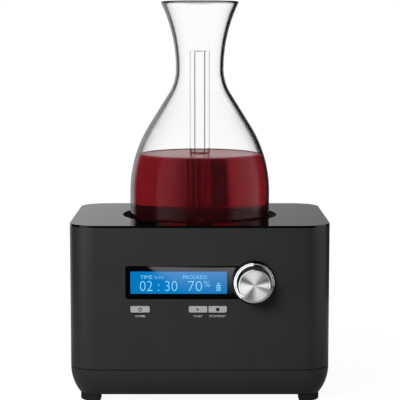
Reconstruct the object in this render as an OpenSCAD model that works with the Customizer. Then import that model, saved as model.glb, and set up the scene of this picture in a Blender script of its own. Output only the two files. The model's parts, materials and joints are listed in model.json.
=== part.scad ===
// Electric wine decanter: an oxygen-making base with a glass vessel that lifts out of its well.
// Millimetres, +Z up, -Y to the front. The origin is on the standing plane, in the middle of the part's box.

/* [Body] */
// Width of the base
body_w = 238; // [228:1:270]
// Depth of the base, without the knob
body_d = 182; // [178:1:210]
// Height of the deck's top face above the standing plane
base_h = 163.5; // [160:0.5:190]
// Radius of the upright corners
corner_r = 26; // [22:1:32]
// Wall thickness of the mouldings
wall = 2.8; // [2.4:0.1:3.4]
// Height of the pan's underside above the standing plane
foot_h = 7; // [6:0.5:9]
// Height of the parting line between housing and pan
seam_h = 31; // [28:1:36]
// Shadow gap along the parting line
seam_gap = 0.8; // [0.4:0.1:1.5]
// Radius of the pan's inward curve
belly_r = 40; // [36:1:60]
// Thickness of the deck plate
deck_t = 2; // [1.6:0.1:3]
// Depth of the deck's locating skirt
skirt_h = 5; // [3:0.5:8]
// Thickness of locating ribs
rib_t = 1.6; // [1.2:0.1:2.4]
// Height of the pan's tongue above the parting line
tongue_h = 3; // [2:0.5:5]

/* [Feet and posts] */
// Width of a foot
foot_w = 19; // [16:0.5:24]
// Corner radius of a foot
foot_r = 3; // [1:0.5:5]
// Distance from the pan's flat underside edge to a foot
foot_edge = 1; // [0.5:0.1:2]
// Distance from the body's side to a post's axis
post_in = 19; // [18:0.5:21]
// Radius of a screw post
post_r = 5; // [4.5:0.1:6]
// Height of a screw post
post_h = 40; // [30:1:60]
// Shank radius of a foot screw
foot_screw_r = 1.5; // [1.2:0.1:2]
// Head radius of a foot screw
foot_head_r = 3.5; // [3:0.1:4]
// Head height of a foot screw
foot_head_h = 2.2; // [1.6:0.1:2.6]
// Length of a foot screw under its head
foot_screw_l = 42; // [40:1:46]

/* [Well] */
// Radius of the hole in the deck
well_r = 73.5; // [71:0.5:76]
// Depth from the deck's top to the decanter's foot
well_depth = 14.5; // [12:0.5:16]
// Wall thickness of the cup
cup_t = 2.2; // [1.8:0.1:3]
// Narrowing of the cup from top to floor
cup_taper = 3; // [1:0.5:4]
// Width of the cup's flange under the deck
cup_flange = 5; // [3:0.5:6]
// Reach of a cup arm from the well's edge to its screw
arm_reach = 14.2; // [13:0.1:15]
// Width of a cup arm
arm_w = 9; // [8:0.5:11]
// Radius of a deck boss
deck_boss_r = 4; // [3.5:0.1:4.5]
// Height of a deck boss
deck_boss_h = 8; // [6:0.5:9]
// Thickness of the mat
mat_t = 2; // [1.8:0.1:3]
// Inner radius of the mat
mat_in = 24; // [16:1:34]
// Outer radius of the mat
mat_out = 56; // [46:1:60]

/* [Nozzle] */
// Height of the spigot above the decanter's foot
nozzle_h = 12; // [10:0.5:16]
// Radius of the nozzle's bore
nozzle_bore = 1.2; // [0.8:0.1:1.4]
// Radius of the nozzle's thread
thread_r = 4.8; // [4.2:0.1:5.4]
// Radius of the nozzle's flange
flange_r = 7.5; // [6.5:0.1:9]
// Thickness of the nozzle's flange
nozzle_flange_t = 1.4; // [1:0.1:1.5]
// Radius of the seal's section
seal_wire = 0.95; // [0.8:0.05:1]
// Height of the seal above the decanter's foot
seal_z = 6; // [4:0.5:7]
// Height of the nozzle's nut
nozzle_nut_h = 5; // [4:0.5:6]

/* [Decanter] */
// Height of the vessel
vessel_h = 216.8; // [208:0.2:226]
// Greatest outer radius
vessel_r = 66.5; // [64:0.5:68.5]
// Narrowest outer radius, in the neck
neck_r = 22.6; // [21:0.2:26]
// Outer radius of the lip
rim_r = 36.5; // [33:0.5:42]
// Drop from the lip to the narrowest place
neck_drop = 61.6; // [56:0.2:66]
// Radius of the curve below the neck
throat_r = 44; // [36:1:52]
// Slope of the shoulder, from the upright
shoulder_angle = 32; // [31:0.5:35]
// Radius of the shoulder's curve into the wall
shoulder_r = 120; // [100:1:130]
// Radius of the heel
heel_r = 9; // [7:0.5:12]
// Glass thickness of the wall
glass_t = 2.6; // [2.2:0.1:3]
// Glass thickness of the floor
glass_floor = 4.5; // [4:0.1:6]
// Outer radius of the air tube
tube_r = 9.5; // [9:0.1:10.5]
// Bore radius of the air tube
tube_bore = 4.5; // [4.4:0.1:5]
// Height of the air tube's top above the vessel's foot
tube_h = 170.5; // [160:0.5:180]

/* [Front panel] */
// Drop from the deck's top to the panel's centre line
panel_drop = 51.7; // [50:0.1:54]
// Height of the panel
panel_h = 30.2; // [28:0.2:34]
// Thickness of the panel
panel_t = 1.5; // [1.2:0.1:1.7]
// Corner radius of the panel
panel_r = 2.4; // [1.5:0.1:4]
// Edge between the display and the panel's left end
panel_edge = 4.5; // [3.5:0.5:6]
// Centre of the display
lcd_x = -19; // [-21:0.5:-17]
// Width of the display
lcd_w = 87.2; // [82:0.2:90]
// Height of the display
lcd_h = 20.3; // [18:0.1:22]
// Thickness of the display's cell
lcd_t = 2.9; // [2.4:0.1:3.4]
// Frame round the display's cell
lcd_rim = 4.6; // [4:0.1:6]

/* [Knob] */
// Distance from the middle of the body to the knob's axis
knob_x = 49; // [47:0.5:52]
// Radius of the knob's skirt
knob_r = 18.3; // [17:0.1:19]
// Radius of the knob's face
knob_face_r = 14; // [13:0.1:15]
// Distance from the front face to the knob's face
knob_proud = 17; // [15.5:0.5:19]
// Height of the knob's skirt
knob_skirt = 2.6; // [2:0.1:3.2]
// Step from the skirt to the flank
knob_step = 1.5; // [1:0.1:2]
// Width of the bevel round the face
knob_bevel = 0.8; // [0.5:0.1:1.2]
// Wall thickness of the knob
knob_wall = 2.4; // [2:0.1:2.8]
// Gap between the knob and the panel
knob_gap = 0.6; // [0.4:0.1:1]
// Width of the bezel's ring
bezel_w = 1.1; // [0.8:0.1:1.6]
// Height of the bezel above the panel
bezel_h = 1.4; // [1:0.1:2]
// Gap between the knob and the bezel
bezel_gap = 0.5; // [0.4:0.1:0.8]
// Radius of the encoder's shaft
shaft_r = 3; // [2.8:0.1:3.2]
// Radius of the encoder's bushing
bushing_r = 4.2; // [4:0.1:4.6]
// Radius of the knob's hub
hub_r = 5.5; // [5:0.1:6.5]
// Width of the encoder's body
encoder_w = 13; // [12:0.5:15]
// Depth of the encoder's body
encoder_d = 6.5; // [5:0.5:7]
// Height of the encoder's nut
encoder_nut_h = 1.8; // [1.4:0.1:2]

/* [Keys] */
// Drop from the deck's top to the keys' centre line
key_drop = 76; // [75:0.5:80]
// Height of a key
key_h = 5.9; // [5:0.1:7]
// Width of the power key
key_w = 17.5; // [15:0.5:20]
// Width of the start and stop pair
pair_w = 34.5; // [32:0.5:38]
// Gap between start and stop
pair_gap = 1.1; // [0.6:0.1:1.6]
// Corner radius of the keys
key_r = 1.4; // [0.8:0.1:2]
// Distance that a key stands out of the front
key_proud = 1.2; // [1:0.1:2]
// Travel of a key
key_travel = 0.8; // [0.5:0.1:0.9]
// Rim that keeps a key in its slot
key_rim = 1.2; // [0.8:0.1:1.4]
// Radius of a key's stem
stem_r = 2.3; // [2:0.1:2.6]
// Radius of a switch plunger
plunger_r = 1.65; // [1.4:0.05:1.8]
// Width of a switch
switch_w = 6; // [5.6:0.1:6.4]
// Depth of a switch
switch_d = 3.5; // [3.2:0.1:3.8]

/* [Boards] */
// Distance from the front face to the control board
board_depth = 13; // [12.5:0.5:15]
// Thickness of the boards
board_t = 1.6; // [1.2:0.1:2]
// Width of the control board
board_w = 160; // [156:1:170]
// Height of the control board
board_h = 64; // [62:1:66]
// Distance from a board's edge to a screw
board_edge = 4; // [3.5:0.5:5]
// Radius of a board boss
board_boss_r = 3; // [2.6:0.1:3.4]
// Shank radius of a board screw
board_screw_r = 1.1; // [0.9:0.05:1.3]
// Distance from the body's side to the main board
main_in = 31; // [29:1:35]
// Distance from the main board to the power lead's aisle
main_gap = 13; // [10:0.5:16]
// Width of the main board
main_w = 52; // [50:1:56]
// Distance from the front face to the main board
main_front = 17; // [16:0.5:22]
// Height of the main board's standoffs
standoff_h = 6; // [5:0.5:8]
// Width of the ribbon cable
ribbon_w = 24; // [16:1:30]
// Thickness of the ribbon cable
ribbon_t = 1.2; // [1:0.1:1.6]

/* [Rear] */
// Width of the fan
fan_w = 60; // [58:1:62]
// Depth of the fan
fan_d = 15; // [14:0.5:16]
// Fan's centre, across
fan_x = -40; // [-42:1:-36]
// Gap between the pan's tongue and the fan
fan_clear = 1; // [0.5:0.5:4]
// Number of fan blades
fan_blades = 7; // [5:1:9]
// Pitch of the fan's blades
fan_pitch = 35; // [25:1:45]
// Radius of the fan's hub
fan_hub_r = 12.5; // [11:0.5:14]
// Height of a vent slot
vent_h = 3; // [2:0.5:3.5]
// Spacing of the vent slots
vent_step = 6; // [5:0.5:8]
// Radius of the intake filter
filter_r = 16; // [13:0.5:17]
// Length of the intake filter
filter_l = 30; // [26:1:34]
// Gap between the corner's curve and the filter
filter_in = 1; // [0.5:0.5:4]
// Gap between the fan and the filter above it
filter_gap = 8.5; // [4:0.5:10]
// Distance from the body's side to the inlet's centre
jack_in = 39; // [37:1:45]
// Inlet's centre above the pan's floor
jack_up = 38; // [32:1:44]
// Radius of the inlet's barrel
jack_r = 4; // [3.8:0.1:4.5]
// Bore radius of the inlet
jack_bore = 2.9; // [2.8:0.05:3]
// Radius of the inlet's pin
jack_pin = 1.05; // [0.9:0.05:1.2]
// Depth of the inlet's bore
jack_depth = 9.5; // [8:0.5:10]

/* [Pump] */
// Distance from the body's side to the pump's plate
plate_in = 16; // [14:1:18]
// Aisle between the pump's plate and the valve manifold
aisle_w = 17; // [15:1:20]
// Distance from the rear face to the pump's axis
pump_back = 59; // [57:1:62]
// Height of the rubber mounts
mount_h = 9; // [7:0.5:10]
// Radius of the rubber mounts
mount_r = 6; // [5:0.5:7]
// Spread of the mounts from the pump's axis
mount_dy = 23; // [22:0.5:24]
// Thickness of the pump's plate
plate_t = 2; // [1.6:0.1:3]
// Width of the pump's plate
plate_w = 58; // [56:1:60]
// Radius of the motor
motor_r = 23; // [21:0.5:24]
// Height of the motor's axis above the plate
motor_up = 25; // [25:0.5:27]
// Width of the crankcase
case_w = 42; // [40:1:44]
// Depth of the crankcase
case_d = 48; // [46:1:50]
// Height of the crankcase
case_h = 51; // [50:1:54]
// Radius of the cylinder
cyl_r = 15; // [13:0.5:16]
// Height of the cylinder
cyl_h = 20; // [18:1:22]
// Reach of the cooling fins
fin_w = 4.4; // [3:0.2:4.8]
// Number of cooling fins
fin_n = 4; // [2:1:5]
// Height of the pump's head
head_h = 12; // [11:0.5:14]
// Distance from the cylinder's axis to a bolt, each way
bolt_at = 16.5; // [16.5:0.1:17]
// Shank radius of a head bolt
bolt_r = 1.5; // [1.2:0.1:1.8]

/* [Oxygen sieve] */
// Distance from the body's side to the valve manifold
sieve_in = 17; // [15:1:19]
// Rim of the valve manifold round the columns
manifold_rim = 2; // [1.5:0.5:3]
// Distance from the rear face to the columns
sieve_back = 51; // [50:1:56]
// Spacing of the columns
column_step = 36; // [35:0.5:38]
// Radius of a column
column_r = 16; // [14:0.5:16.2]
// Room between the crossover bar and the well cup
sieve_gap = 11.5; // [8:0.5:20]
// Height of the valve manifold
manifold_h = 18; // [16:0.5:20]
// Height of a column cap above the column
cap_h = 6; // [4:0.5:7]
// Overlap of a cap down the column
cap_skirt = 6; // [4:0.5:8]
// Wall thickness of a cap
cap_t = 1.4; // [1:0.1:1.5]
// Width of the solenoid valve
valve_w = 32; // [28:1:36]
// Depth of the solenoid valve
valve_d = 24; // [22:1:28]
// Radius of the solenoid's coil
coil_r = 11; // [9:0.5:11.5]
// Height of the solenoid's coil
coil_h = 26; // [20:1:32]
// Radius of the hoses
hose_r = 3.5; // [3:0.1:4]
// Radius of the hose nipples
nipple_r = 2.6; // [2.2:0.1:2.8]
// Length of the hose nipples
nipple_l = 8; // [6:0.5:9]
// Radius of the power lead
lead_r = 2; // [1.5:0.1:2.4]

/* [Clearances] */
// Gap round inset pieces
fit_gap = 0.2; // [0.1:0.05:0.3]
// Gap round a key in its slot
key_gap = 0.25; // [0.15:0.05:0.35]
// Running gap round a shaft
run_gap = 0.05; // [0.02:0.01:0.1]
// Gap round a screw in its pilot hole
pilot_gap = 0.05; // [0.02:0.01:0.08]
// Gap round a screw that passes through
pass_gap = 0.3; // [0.2:0.05:0.4]
// Gap between the seal and the air tube's bore
seal_gap = 0.15; // [0.1:0.05:0.2]

/* [Hidden] */
$fn = 64;
// overshoot of a cut past the face that it opens
over = 1;
// points along each arc of a profile
arc_n = 6;

// heights
deck_low = base_h - deck_t;
pan_floor = foot_h + wall;
vessel_z = base_h - well_depth;
cup_floor = vessel_z - mat_t;
cup_low = cup_floor - cup_t;
panel_z = base_h - panel_drop;
key_z = base_h - key_drop;
wall_low = seam_h + seam_gap;

// faces and frame
front_y = -body_d / 2;
rear_y = body_d / 2;
frame_shift = knob_proud / 2;

// pan
belly_in = belly_r - sqrt(pow(belly_r, 2) - pow(seam_h - foot_h, 2));
foot_out = belly_in + foot_edge;
post_x = body_w / 2 - post_in;
post_y = body_d / 2 - post_in;
foot_head_z = 2.6;
foot_head_top = foot_head_z + foot_head_h;

// well
arm_r = well_r + arm_reach;
arm_t = 2.5;
arm_z = deck_low - deck_boss_h;
well_screw_r = 1.2;
well_screw_l = 8;
well_head_r = 2.8;
well_head_h = 1.8;
seal_major = tube_bore - seal_gap - seal_wire;
spigot_r = tube_bore - 0.9;
groove_r = seal_major - seal_wire - pilot_gap;
barb_low = cup_low - nozzle_nut_h - nipple_l;

// decanter
flare_in = rim_r - neck_r;
flare_r = (pow(neck_drop, 2) + pow(flare_in, 2)) / (2 * flare_in);
flare_angle = asin(neck_drop / flare_r);
lip_rise = glass_t / 2 * (1 + sin(flare_angle));
neck_z = vessel_h - lip_rise - neck_drop;
cone_in = vessel_r - neck_r - (shoulder_r + throat_r) * (1 - cos(shoulder_angle));
cone_h = cone_in / tan(shoulder_angle);
shoulder_z = neck_z - cone_h - (throat_r + shoulder_r) * sin(shoulder_angle);

// front
panel_left = lcd_x - lcd_w / 2 - panel_edge;
bezel_in = knob_r + bezel_gap;
bezel_out = bezel_in + bezel_w;
power_x = lcd_x - lcd_w / 2 + key_w / 2;
pair_x = lcd_x + lcd_w / 2 - pair_w / 2;
start_x = pair_x - (pair_w + pair_gap) / 4;
stop_x = pair_x + (pair_w + pair_gap) / 4;
key_rim_t = 1.2;
switch_front = board_depth - switch_d;
key_slack = 0.6;
stem_end = switch_front - key_travel - key_slack;
plunger_l = 3;
board_back = board_depth + board_t;
board_rise = 22;
board_top = panel_z + board_rise;
board_mid = board_top - board_h / 2;
board_head_r = 2.5;
board_head_h = 1.6;
board_grip = 6;
encoder_front = board_depth - encoder_d;
bushing_end = 1.6;
hub_start = max(encoder_nut_h, bushing_end) + 0.6;
shaft_end = knob_proud - knob_wall - 1.6;
shaft_start = encoder_front - 1;

// sieve
sieve_y = rear_y - sieve_back;
manifold_d = 2 * (column_r + manifold_rim);
manifold_w = column_step + manifold_d;
sieve_x = body_w / 2 - sieve_in - manifold_w;
column_x = sieve_x + manifold_d / 2;
manifold_top = pan_floor + manifold_h;
bar_h = 11;
bar_rise = 0.5;
bar_z = cup_low - sieve_gap - bar_h;
cap_top = bar_z - bar_rise;
column_top = cap_top - cap_h;
column_h = column_top - manifold_top;
bar_w = 10;
bar_end = 8;
valve_x = column_x + column_step / 2;
valve_y = sieve_y - manifold_d / 2 - valve_d / 2;
valve_h = 24;
valve_top = pan_floor + valve_h;
valve_in = [valve_x - valve_w / 2 - nipple_l, valve_y, pan_floor + valve_h / 2];

// pump
pump_y = rear_y - pump_back;
plate_z = pan_floor + mount_h;
plate_top = plate_z + plate_t;
motor_z = plate_top + motor_up;
case_top = plate_top + case_h;
head_z = case_top + cyl_h;
head_top = head_z + head_h;
head_w = 2 * bolt_at + 9;
port_z = head_z + head_h / 2;
plate_x0 = plate_in - body_w / 2;
plate_x1 = sieve_x - aisle_w;
plate_left = 4;
plate_right = 16;
motor_l = plate_x1 - plate_x0 - plate_left - plate_right - case_w;
pump_x = plate_x1 - plate_right - case_w / 2;
mount_in = 8;
mount_neck_r = 3;
mount_cap_r = 4.4;
mount_cap_h = 2;
bolt_head_r = 2.6;
bolt_head_h = 3;
bolt_deep = 8;
fin_t = 1.6;
inlet_x = pump_x - head_w / 2 - nipple_l;
outlet_x = pump_x + head_w / 2 + nipple_l;

// rear
fan_z = seam_h + tongue_h + fan_clear + fan_w / 2;
fan_duct_r = fan_w / 2 - 1.4;
fan_bolt_at = fan_w / 2 - 5;
fan_screw_r = 1.5;
fan_screw_in = 2;
stator_t = 2.4;
filter_x = corner_r + filter_in + filter_r - body_w / 2;
filter_z = fan_z + fan_w / 2 + filter_gap + filter_r;
jack_x = body_w / 2 - jack_in;
jack_z = pan_floor + jack_up;
jack_body_w = 13;
jack_body_d = 13;
jack_tail = 1;

// main board
lead_gap = 3;
aisle_x = sieve_x - lead_r - lead_gap;
main_x = main_in - body_w / 2;
main_l = aisle_x - main_gap - main_x;
main_y = front_y + main_front;
main_z = pan_floor + standoff_h;
main_top = main_z + board_t;
ribbon_x = main_x + main_l / 2;
plug_w = 28;
plug_d = 6;
plug_h = 7;
plug_in = 3;
plug_up = 2;
sink_n = 6;
sink_step = main_l * 0.06;
sink_t = sink_step / 2;
sink_w = main_w * 0.27;
sink_h = 22;
sink_base = 4;
can_r = main_l * 0.06;
can_h = 18;
lead_plug_w = 12;
lead_plug_d = 10;
lead_plug_h = 9;
lead_plug_x = main_x + main_l - board_edge - lead_plug_w;
lead_plug_y = main_y + main_w * 0.46;

// colours
charcoal = [0.17, 0.17, 0.18];
gloss_black = [0.03, 0.03, 0.03];
soft_black = [0.09, 0.09, 0.09];
silver = [0.75, 0.75, 0.76];
steel = [0.55, 0.56, 0.58];
brass = [0.75, 0.6, 0.3];
clear = [0.85, 0.92, 0.95, 0.35];
screen_blue = [0.05, 0.45, 0.72];
board_green = [0.08, 0.33, 0.17];
white_plastic = [0.88, 0.88, 0.86];
blue_plastic = [0.2, 0.35, 0.55];
hose_clear = [0.8, 0.83, 0.85];

// A point list along an arc
function arc(c, r, a0, a1) = [
    for (i = [0 : arc_n])
        let (a = a0 + (a1 - a0) * i / arc_n)
        c + r * [cos(a), sin(a)]
];

function reversed(list) = [for (i = [len(list) - 1 : -1 : 0]) list[i]];

// The vessel's wall from the lip to the wall's foot, set in by t
function vessel_path(t) = concat(
    arc([neck_r + flare_r, neck_z], flare_r + t, 180 - flare_angle, 180),
    arc([neck_r + throat_r, neck_z], throat_r + t, 180, 180 + shoulder_angle),
    arc([vessel_r - shoulder_r, shoulder_z], shoulder_r - t, shoulder_angle, 0)
);

// The heel, set in by t, with its lowest point at z
function heel_path(t, z) = arc([vessel_r - heel_r, z + heel_r - t], heel_r - t, 0, -90);

// A smooth line through route points, for hoses and leads
function along(p, i, t) =
    let (a = p[max(i - 1, 0)], b = p[i], c = p[i + 1], d = p[min(i + 2, len(p) - 1)])
    0.5 * (2 * b + (c - a) * t + (2 * a - 5 * b + 4 * c - d) * t * t + (3 * b - a - 3 * c + d) * t * t * t);
function route(p, n) = concat([for (i = [0 : len(p) - 2], k = [0 : n - 1]) along(p, i, k / n)], [p[len(p) - 1]]);
function unit(v) = v / norm(v);
function headings(c, p) = concat(
    [unit(p[1] - p[0])],
    [for (i = [1 : len(c) - 2]) unit(c[i + 1] - c[i - 1])],
    [unit(p[len(p) - 1] - p[len(p) - 2])]
);
function carried(h, i, n) =
    i == len(h) ? [] : let (m = unit(n - (n * h[i]) * h[i])) concat([m], carried(h, i + 1, m));

// A round flexible line swept along a route
module flexible(points, r, side) {
    steps = 4;
    sides = 8;
    c = route(points, steps);
    h = headings(c, points);
    n = carried(h, 0, side);
    last = (len(c) - 1) * sides;
    rings = [
        for (i = [0 : len(c) - 1], j = [0 : sides - 1])
            let (a = 360 * j / sides)
            c[i] + r * (cos(a) * n[i] + sin(a) * cross(h[i], n[i]))
    ];
    skin = [
        for (i = [0 : len(c) - 2], j = [0 : sides - 1], half = [0, 1])
            let (a = i * sides + j, b = i * sides + (j + 1) % sides)
            half == 0 ? [a, a + sides, b] : [b, a + sides, b + sides]
    ];
    caps = [for (j = [1 : sides - 2], end = [0, 1]) end == 0 ? [0, j, j + 1] : [last, last + j + 1, last + j]];
    polyhedron(rings, concat(skin, caps));
}

// A box between two corners, in any order
module block(a, b) {
    low = [for (i = [0 : 2]) min(a[i], b[i])];
    size = [for (i = [0 : 2]) abs(a[i] - b[i])];
    translate(low)
        cube(size);
}

module round_rect(w, d, r) {
    square([w - 2 * r, d], center = true);
    square([w, d - 2 * r], center = true);
    for (sx = [-1, 1], sy = [-1, 1])
        translate([sx * (w / 2 - r), sy * (d / 2 - r)])
            circle(r);
}

// The body's outline, set in from its sides
module outline(inset) {
    round_rect(body_w - 2 * inset, body_d - 2 * inset, corner_r - inset);
}

module outline_ring(outer, inner) {
    difference() {
        outline(outer);
        outline(inner);
    }
}

// A solid with the body's plan whose side follows the profile given, measured out from the corners' axes
module sided(z0, z1) {
    x = body_w / 2 - corner_r;
    y = body_d / 2 - corner_r;
    block([-x, -y, z0], [x, y, z1]);
    for (s = [0, 180])
        rotate(s) {
            translate([x, y, 0])
                rotate([90, 0, 0])
                linear_extrude(2 * y)
                children();
            translate([-x, y, 0])
                rotate([90, 0, 90])
                linear_extrude(2 * x)
                children();
            translate([x, y, 0])
                rotate_extrude(angle = 90)
                children();
            translate([-x, y, 0])
                rotate(90)
                rotate_extrude(angle = 90)
                children();
        }
}

// The pan's side, set in from its outside
module belly(inset, z0, z1) {
    intersection() {
        translate([0, z0])
            square([corner_r - inset, z1 - z0]);
        translate([corner_r - belly_r, seam_h])
            circle(belly_r - inset);
    }
}

module at_corners(x, y) {
    for (sx = [-1, 1], sy = [-1, 1])
        translate([sx * x, sy * y, 0])
            children();
}

// Work on the front face: x across, y up, z out of the face
module on_front(x, z) {
    translate([x, front_y, z])
        rotate([90, 0, 0])
        children();
}

// Work on the rear face: x across, y up, z out of the face
module on_rear(x, z) {
    translate([x, rear_y, z])
        rotate([90, 0, 180])
        children();
}

// The part's own frame: midway between the knob's face and the rear wall
module place() {
    translate([0, frame_shift, 0])
        children();
}

// Outlines on the front

module panel_outline(grow) {
    left = panel_left - grow;
    right = knob_x;
    translate([(left + right) / 2, 0])
        round_rect(right - left, panel_h + 2 * grow, panel_r + grow);
    translate([knob_x, 0])
        circle(bezel_out + grow);
}

module power_outline(grow) {
    translate([power_x, 0])
        round_rect(key_w + 2 * grow, key_h + 2 * grow, key_r + max(grow, 0));
}

module pair_outline(grow) {
    translate([pair_x, 0])
        round_rect(pair_w + 2 * grow, key_h + 2 * grow, key_r + max(grow, 0));
}

module start_outline(grow) {
    reach = pair_w;
    intersection() {
        pair_outline(grow);
        translate([pair_x - pair_gap / 2 - reach, -reach])
            square([reach, 2 * reach]);
    }
}

module stop_outline(grow) {
    reach = pair_w;
    intersection() {
        pair_outline(grow);
        translate([pair_x + pair_gap / 2, -reach])
            square([reach, 2 * reach]);
    }
}

// Base

module housing_ribs() {
    low = seam_h + tongue_h + over;
    half = rib_t / 2;
    intersection() {
        for (sx = [-1, 1], sy = [-1, 1]) {
            x = sx * post_x;
            y = sy * post_y;
            block([x, y - half, low], [sx * body_w / 2, y + half, seam_h + post_h]);
            block([x - half, y, low], [x + half, sy * body_d / 2, seam_h + post_h]);
        }
        translate([0, 0, low])
            linear_extrude(post_h)
            outline(wall / 2);
    }
}

module at_board_screws() {
    for (sx = [-1, 1], z = [board_edge, board_h - board_edge])
        on_front(sx * (board_w / 2 - board_edge), board_top - z)
            children();
}

module fan_vents() {
    intersection() {
        circle(fan_duct_r - 2);
        for (i = [-4 : 4])
            translate([-fan_w / 2, i * vent_step - vent_h / 2])
                square([fan_w, vent_h]);
    }
}

module filter_vents() {
    intersection() {
        circle(filter_r - 4);
        for (i = [-2 : 2])
            translate([-filter_r, i * vent_step - vent_h / 2])
                square([2 * filter_r, vent_h]);
    }
}

module upper_housing() {
    through = wall + 2 * over;
    color(charcoal)
        difference() {
            union() {
                translate([0, 0, wall_low])
                    linear_extrude(deck_low - wall_low)
                    outline_ring(0, wall);
                translate([0, 0, seam_h])
                    at_corners(post_x, post_y)
                    cylinder(r = post_r, h = post_h);
                housing_ribs();
                at_board_screws()
                    translate([0, 0, -board_depth])
                    cylinder(r = board_boss_r, h = board_depth - wall / 2);
            }
            on_front(0, panel_z)
                translate([0, 0, -panel_t])
                linear_extrude(panel_t + over)
                panel_outline(fit_gap);
            on_front(lcd_x, panel_z)
                translate([0, 0, -wall - over])
                linear_extrude(through)
                square([lcd_w + 2 * fit_gap, lcd_h + 2 * fit_gap], center = true);
            on_front(knob_x, panel_z)
                translate([0, 0, -wall - over])
                cylinder(r = bushing_r + pass_gap, h = through);
            on_front(0, key_z)
                translate([0, 0, -wall - over])
                linear_extrude(through) {
                    power_outline(key_gap);
                    pair_outline(key_gap);
                }
            at_board_screws()
                translate([0, 0, -board_depth - over])
                cylinder(r = board_screw_r + pilot_gap, h = board_depth - wall);
            on_rear(fan_x, fan_z)
                translate([0, 0, -wall - over])
                linear_extrude(through)
                fan_vents();
            at_fan_screws()
                translate([0, 0, -wall - over])
                cylinder(r = fan_screw_r + pilot_gap, h = over + fan_screw_in + pilot_gap);
            on_rear(filter_x, filter_z)
                translate([0, 0, -wall - over])
                linear_extrude(through)
                filter_vents();
            on_rear(jack_x, jack_z)
                translate([0, 0, -wall - over])
                cylinder(r = jack_r + pass_gap, h = through);
            translate([0, 0, seam_h - over])
                at_corners(post_x, post_y)
                cylinder(r = foot_screw_r + pilot_gap, h = foot_screw_l);
        }
}

module bottom_pan() {
    boss_r = post_r + 0.5;
    color(charcoal)
        difference() {
            union() {
                difference() {
                    sided(foot_h, seam_h)
                        belly(0, foot_h, seam_h);
                    sided(pan_floor, seam_h + over)
                        belly(wall, pan_floor, seam_h + over);
                }
                translate([0, 0, seam_h - 2 * tongue_h])
                    linear_extrude(2 * tongue_h)
                    outline_ring(wall - 0.5, wall + rib_t + fit_gap);
                translate([0, 0, seam_h - over])
                    linear_extrude(tongue_h + over)
                    outline_ring(wall + fit_gap, wall + rib_t + fit_gap);
                translate([0, 0, pan_floor - wall / 2])
                    at_corners(post_x, post_y)
                    cylinder(r = boss_r, h = seam_h - pan_floor + wall / 2);
                at_main_screws(pan_floor - wall / 2)
                    cylinder(r = board_boss_r, h = standoff_h + wall / 2);
            }
            at_corners(post_x, post_y)
                cylinder(r = foot_screw_r + pass_gap, h = seam_h + over);
            at_main_screws(pan_floor)
                cylinder(r = board_screw_r + pilot_gap, h = standoff_h + over);
        }
}

module at_arm_screws() {
    for (a = [45 : 90 : 315])
        rotate(a)
            translate([arm_r, 0, 0])
            children();
}

module top_deck() {
    color(gloss_black)
        difference() {
            union() {
                translate([0, 0, deck_low])
                    linear_extrude(deck_t)
                    outline(0);
                translate([0, 0, deck_low - skirt_h])
                    linear_extrude(skirt_h + deck_t / 2)
                    outline_ring(wall + fit_gap, wall + fit_gap + rib_t);
                translate([0, 0, arm_z])
                    at_arm_screws()
                    cylinder(r = deck_boss_r, h = deck_boss_h + deck_t / 2);
            }
            translate([0, 0, deck_low - over])
                cylinder(r = well_r, h = deck_t + 2 * over);
            translate([0, 0, arm_z - over])
                at_arm_screws()
                cylinder(r = well_screw_r + pilot_gap, h = deck_boss_h + over);
        }
}

module foot_outline() {
    intersection() {
        outline(foot_out);
        at_corners(body_w / 2 - foot_out - foot_w / 2, body_d / 2 - foot_out - foot_w / 2)
            round_rect(foot_w, foot_w, foot_r);
    }
}

module rubber_feet() {
    color(soft_black)
        difference() {
            linear_extrude(foot_h)
                foot_outline();
            translate([0, 0, -over])
                at_corners(post_x, post_y)
                cylinder(r = foot_head_r + pass_gap, h = foot_head_top + over);
            at_corners(post_x, post_y)
                cylinder(r = foot_screw_r + pass_gap, h = foot_h + over);
        }
}

// A pan-head screw standing head down, its head's seat at z = 0
module screw(r, length, head_r, head_h) {
    cylinder(r = r, h = length);
    difference() {
        translate([0, 0, -head_h])
            cylinder(r = head_r, h = head_h);
        for (a = [0, 90])
            rotate(a)
                translate([-head_r * 0.6, -r * 0.25, -head_h - over])
                cube([head_r * 1.2, r * 0.5, head_h / 2 + over]);
    }
}

module foot_screws() {
    color(steel)
        translate([0, 0, foot_head_top])
        at_corners(post_x, post_y)
        screw(foot_screw_r, foot_screw_l, foot_head_r, foot_head_h);
}

// Well

module well_cup() {
    seat_r = well_r - cup_taper;
    color(soft_black)
        difference() {
            union() {
                rotate_extrude()
                    polygon([
                        [thread_r + pass_gap, cup_low],
                        [seat_r + cup_t, cup_low],
                        [well_r + cup_t, deck_low - cup_t],
                        [well_r + cup_flange, deck_low - cup_t],
                        [well_r + cup_flange, deck_low],
                        [well_r, deck_low],
                        [seat_r, cup_floor],
                        [thread_r + pass_gap, cup_floor]
                    ]);
                translate([0, 0, arm_z - arm_t])
                    at_arm_screws() {
                        cylinder(d = arm_w, h = arm_t);
                        translate([-arm_reach - cup_t / 2, -arm_w / 2, 0])
                            cube([arm_reach + cup_t / 2, arm_w, arm_t]);
                    }
            }
            translate([0, 0, arm_z - arm_t - over])
                at_arm_screws()
                cylinder(r = well_screw_r + pass_gap, h = arm_t + 2 * over);
            translate([0, 0, cup_floor])
                cylinder(r1 = seat_r, r2 = well_r, h = deck_low - cup_floor);
        }
}

module well_mat() {
    color(soft_black)
        translate([0, 0, cup_floor])
        linear_extrude(mat_t)
        difference() {
            circle(mat_out);
            circle(mat_in);
        }
}

module well_screws() {
    color(steel)
        translate([0, 0, arm_z - arm_t])
        at_arm_screws()
        screw(well_screw_r, well_screw_l, well_head_r, well_head_h);
}

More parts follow.
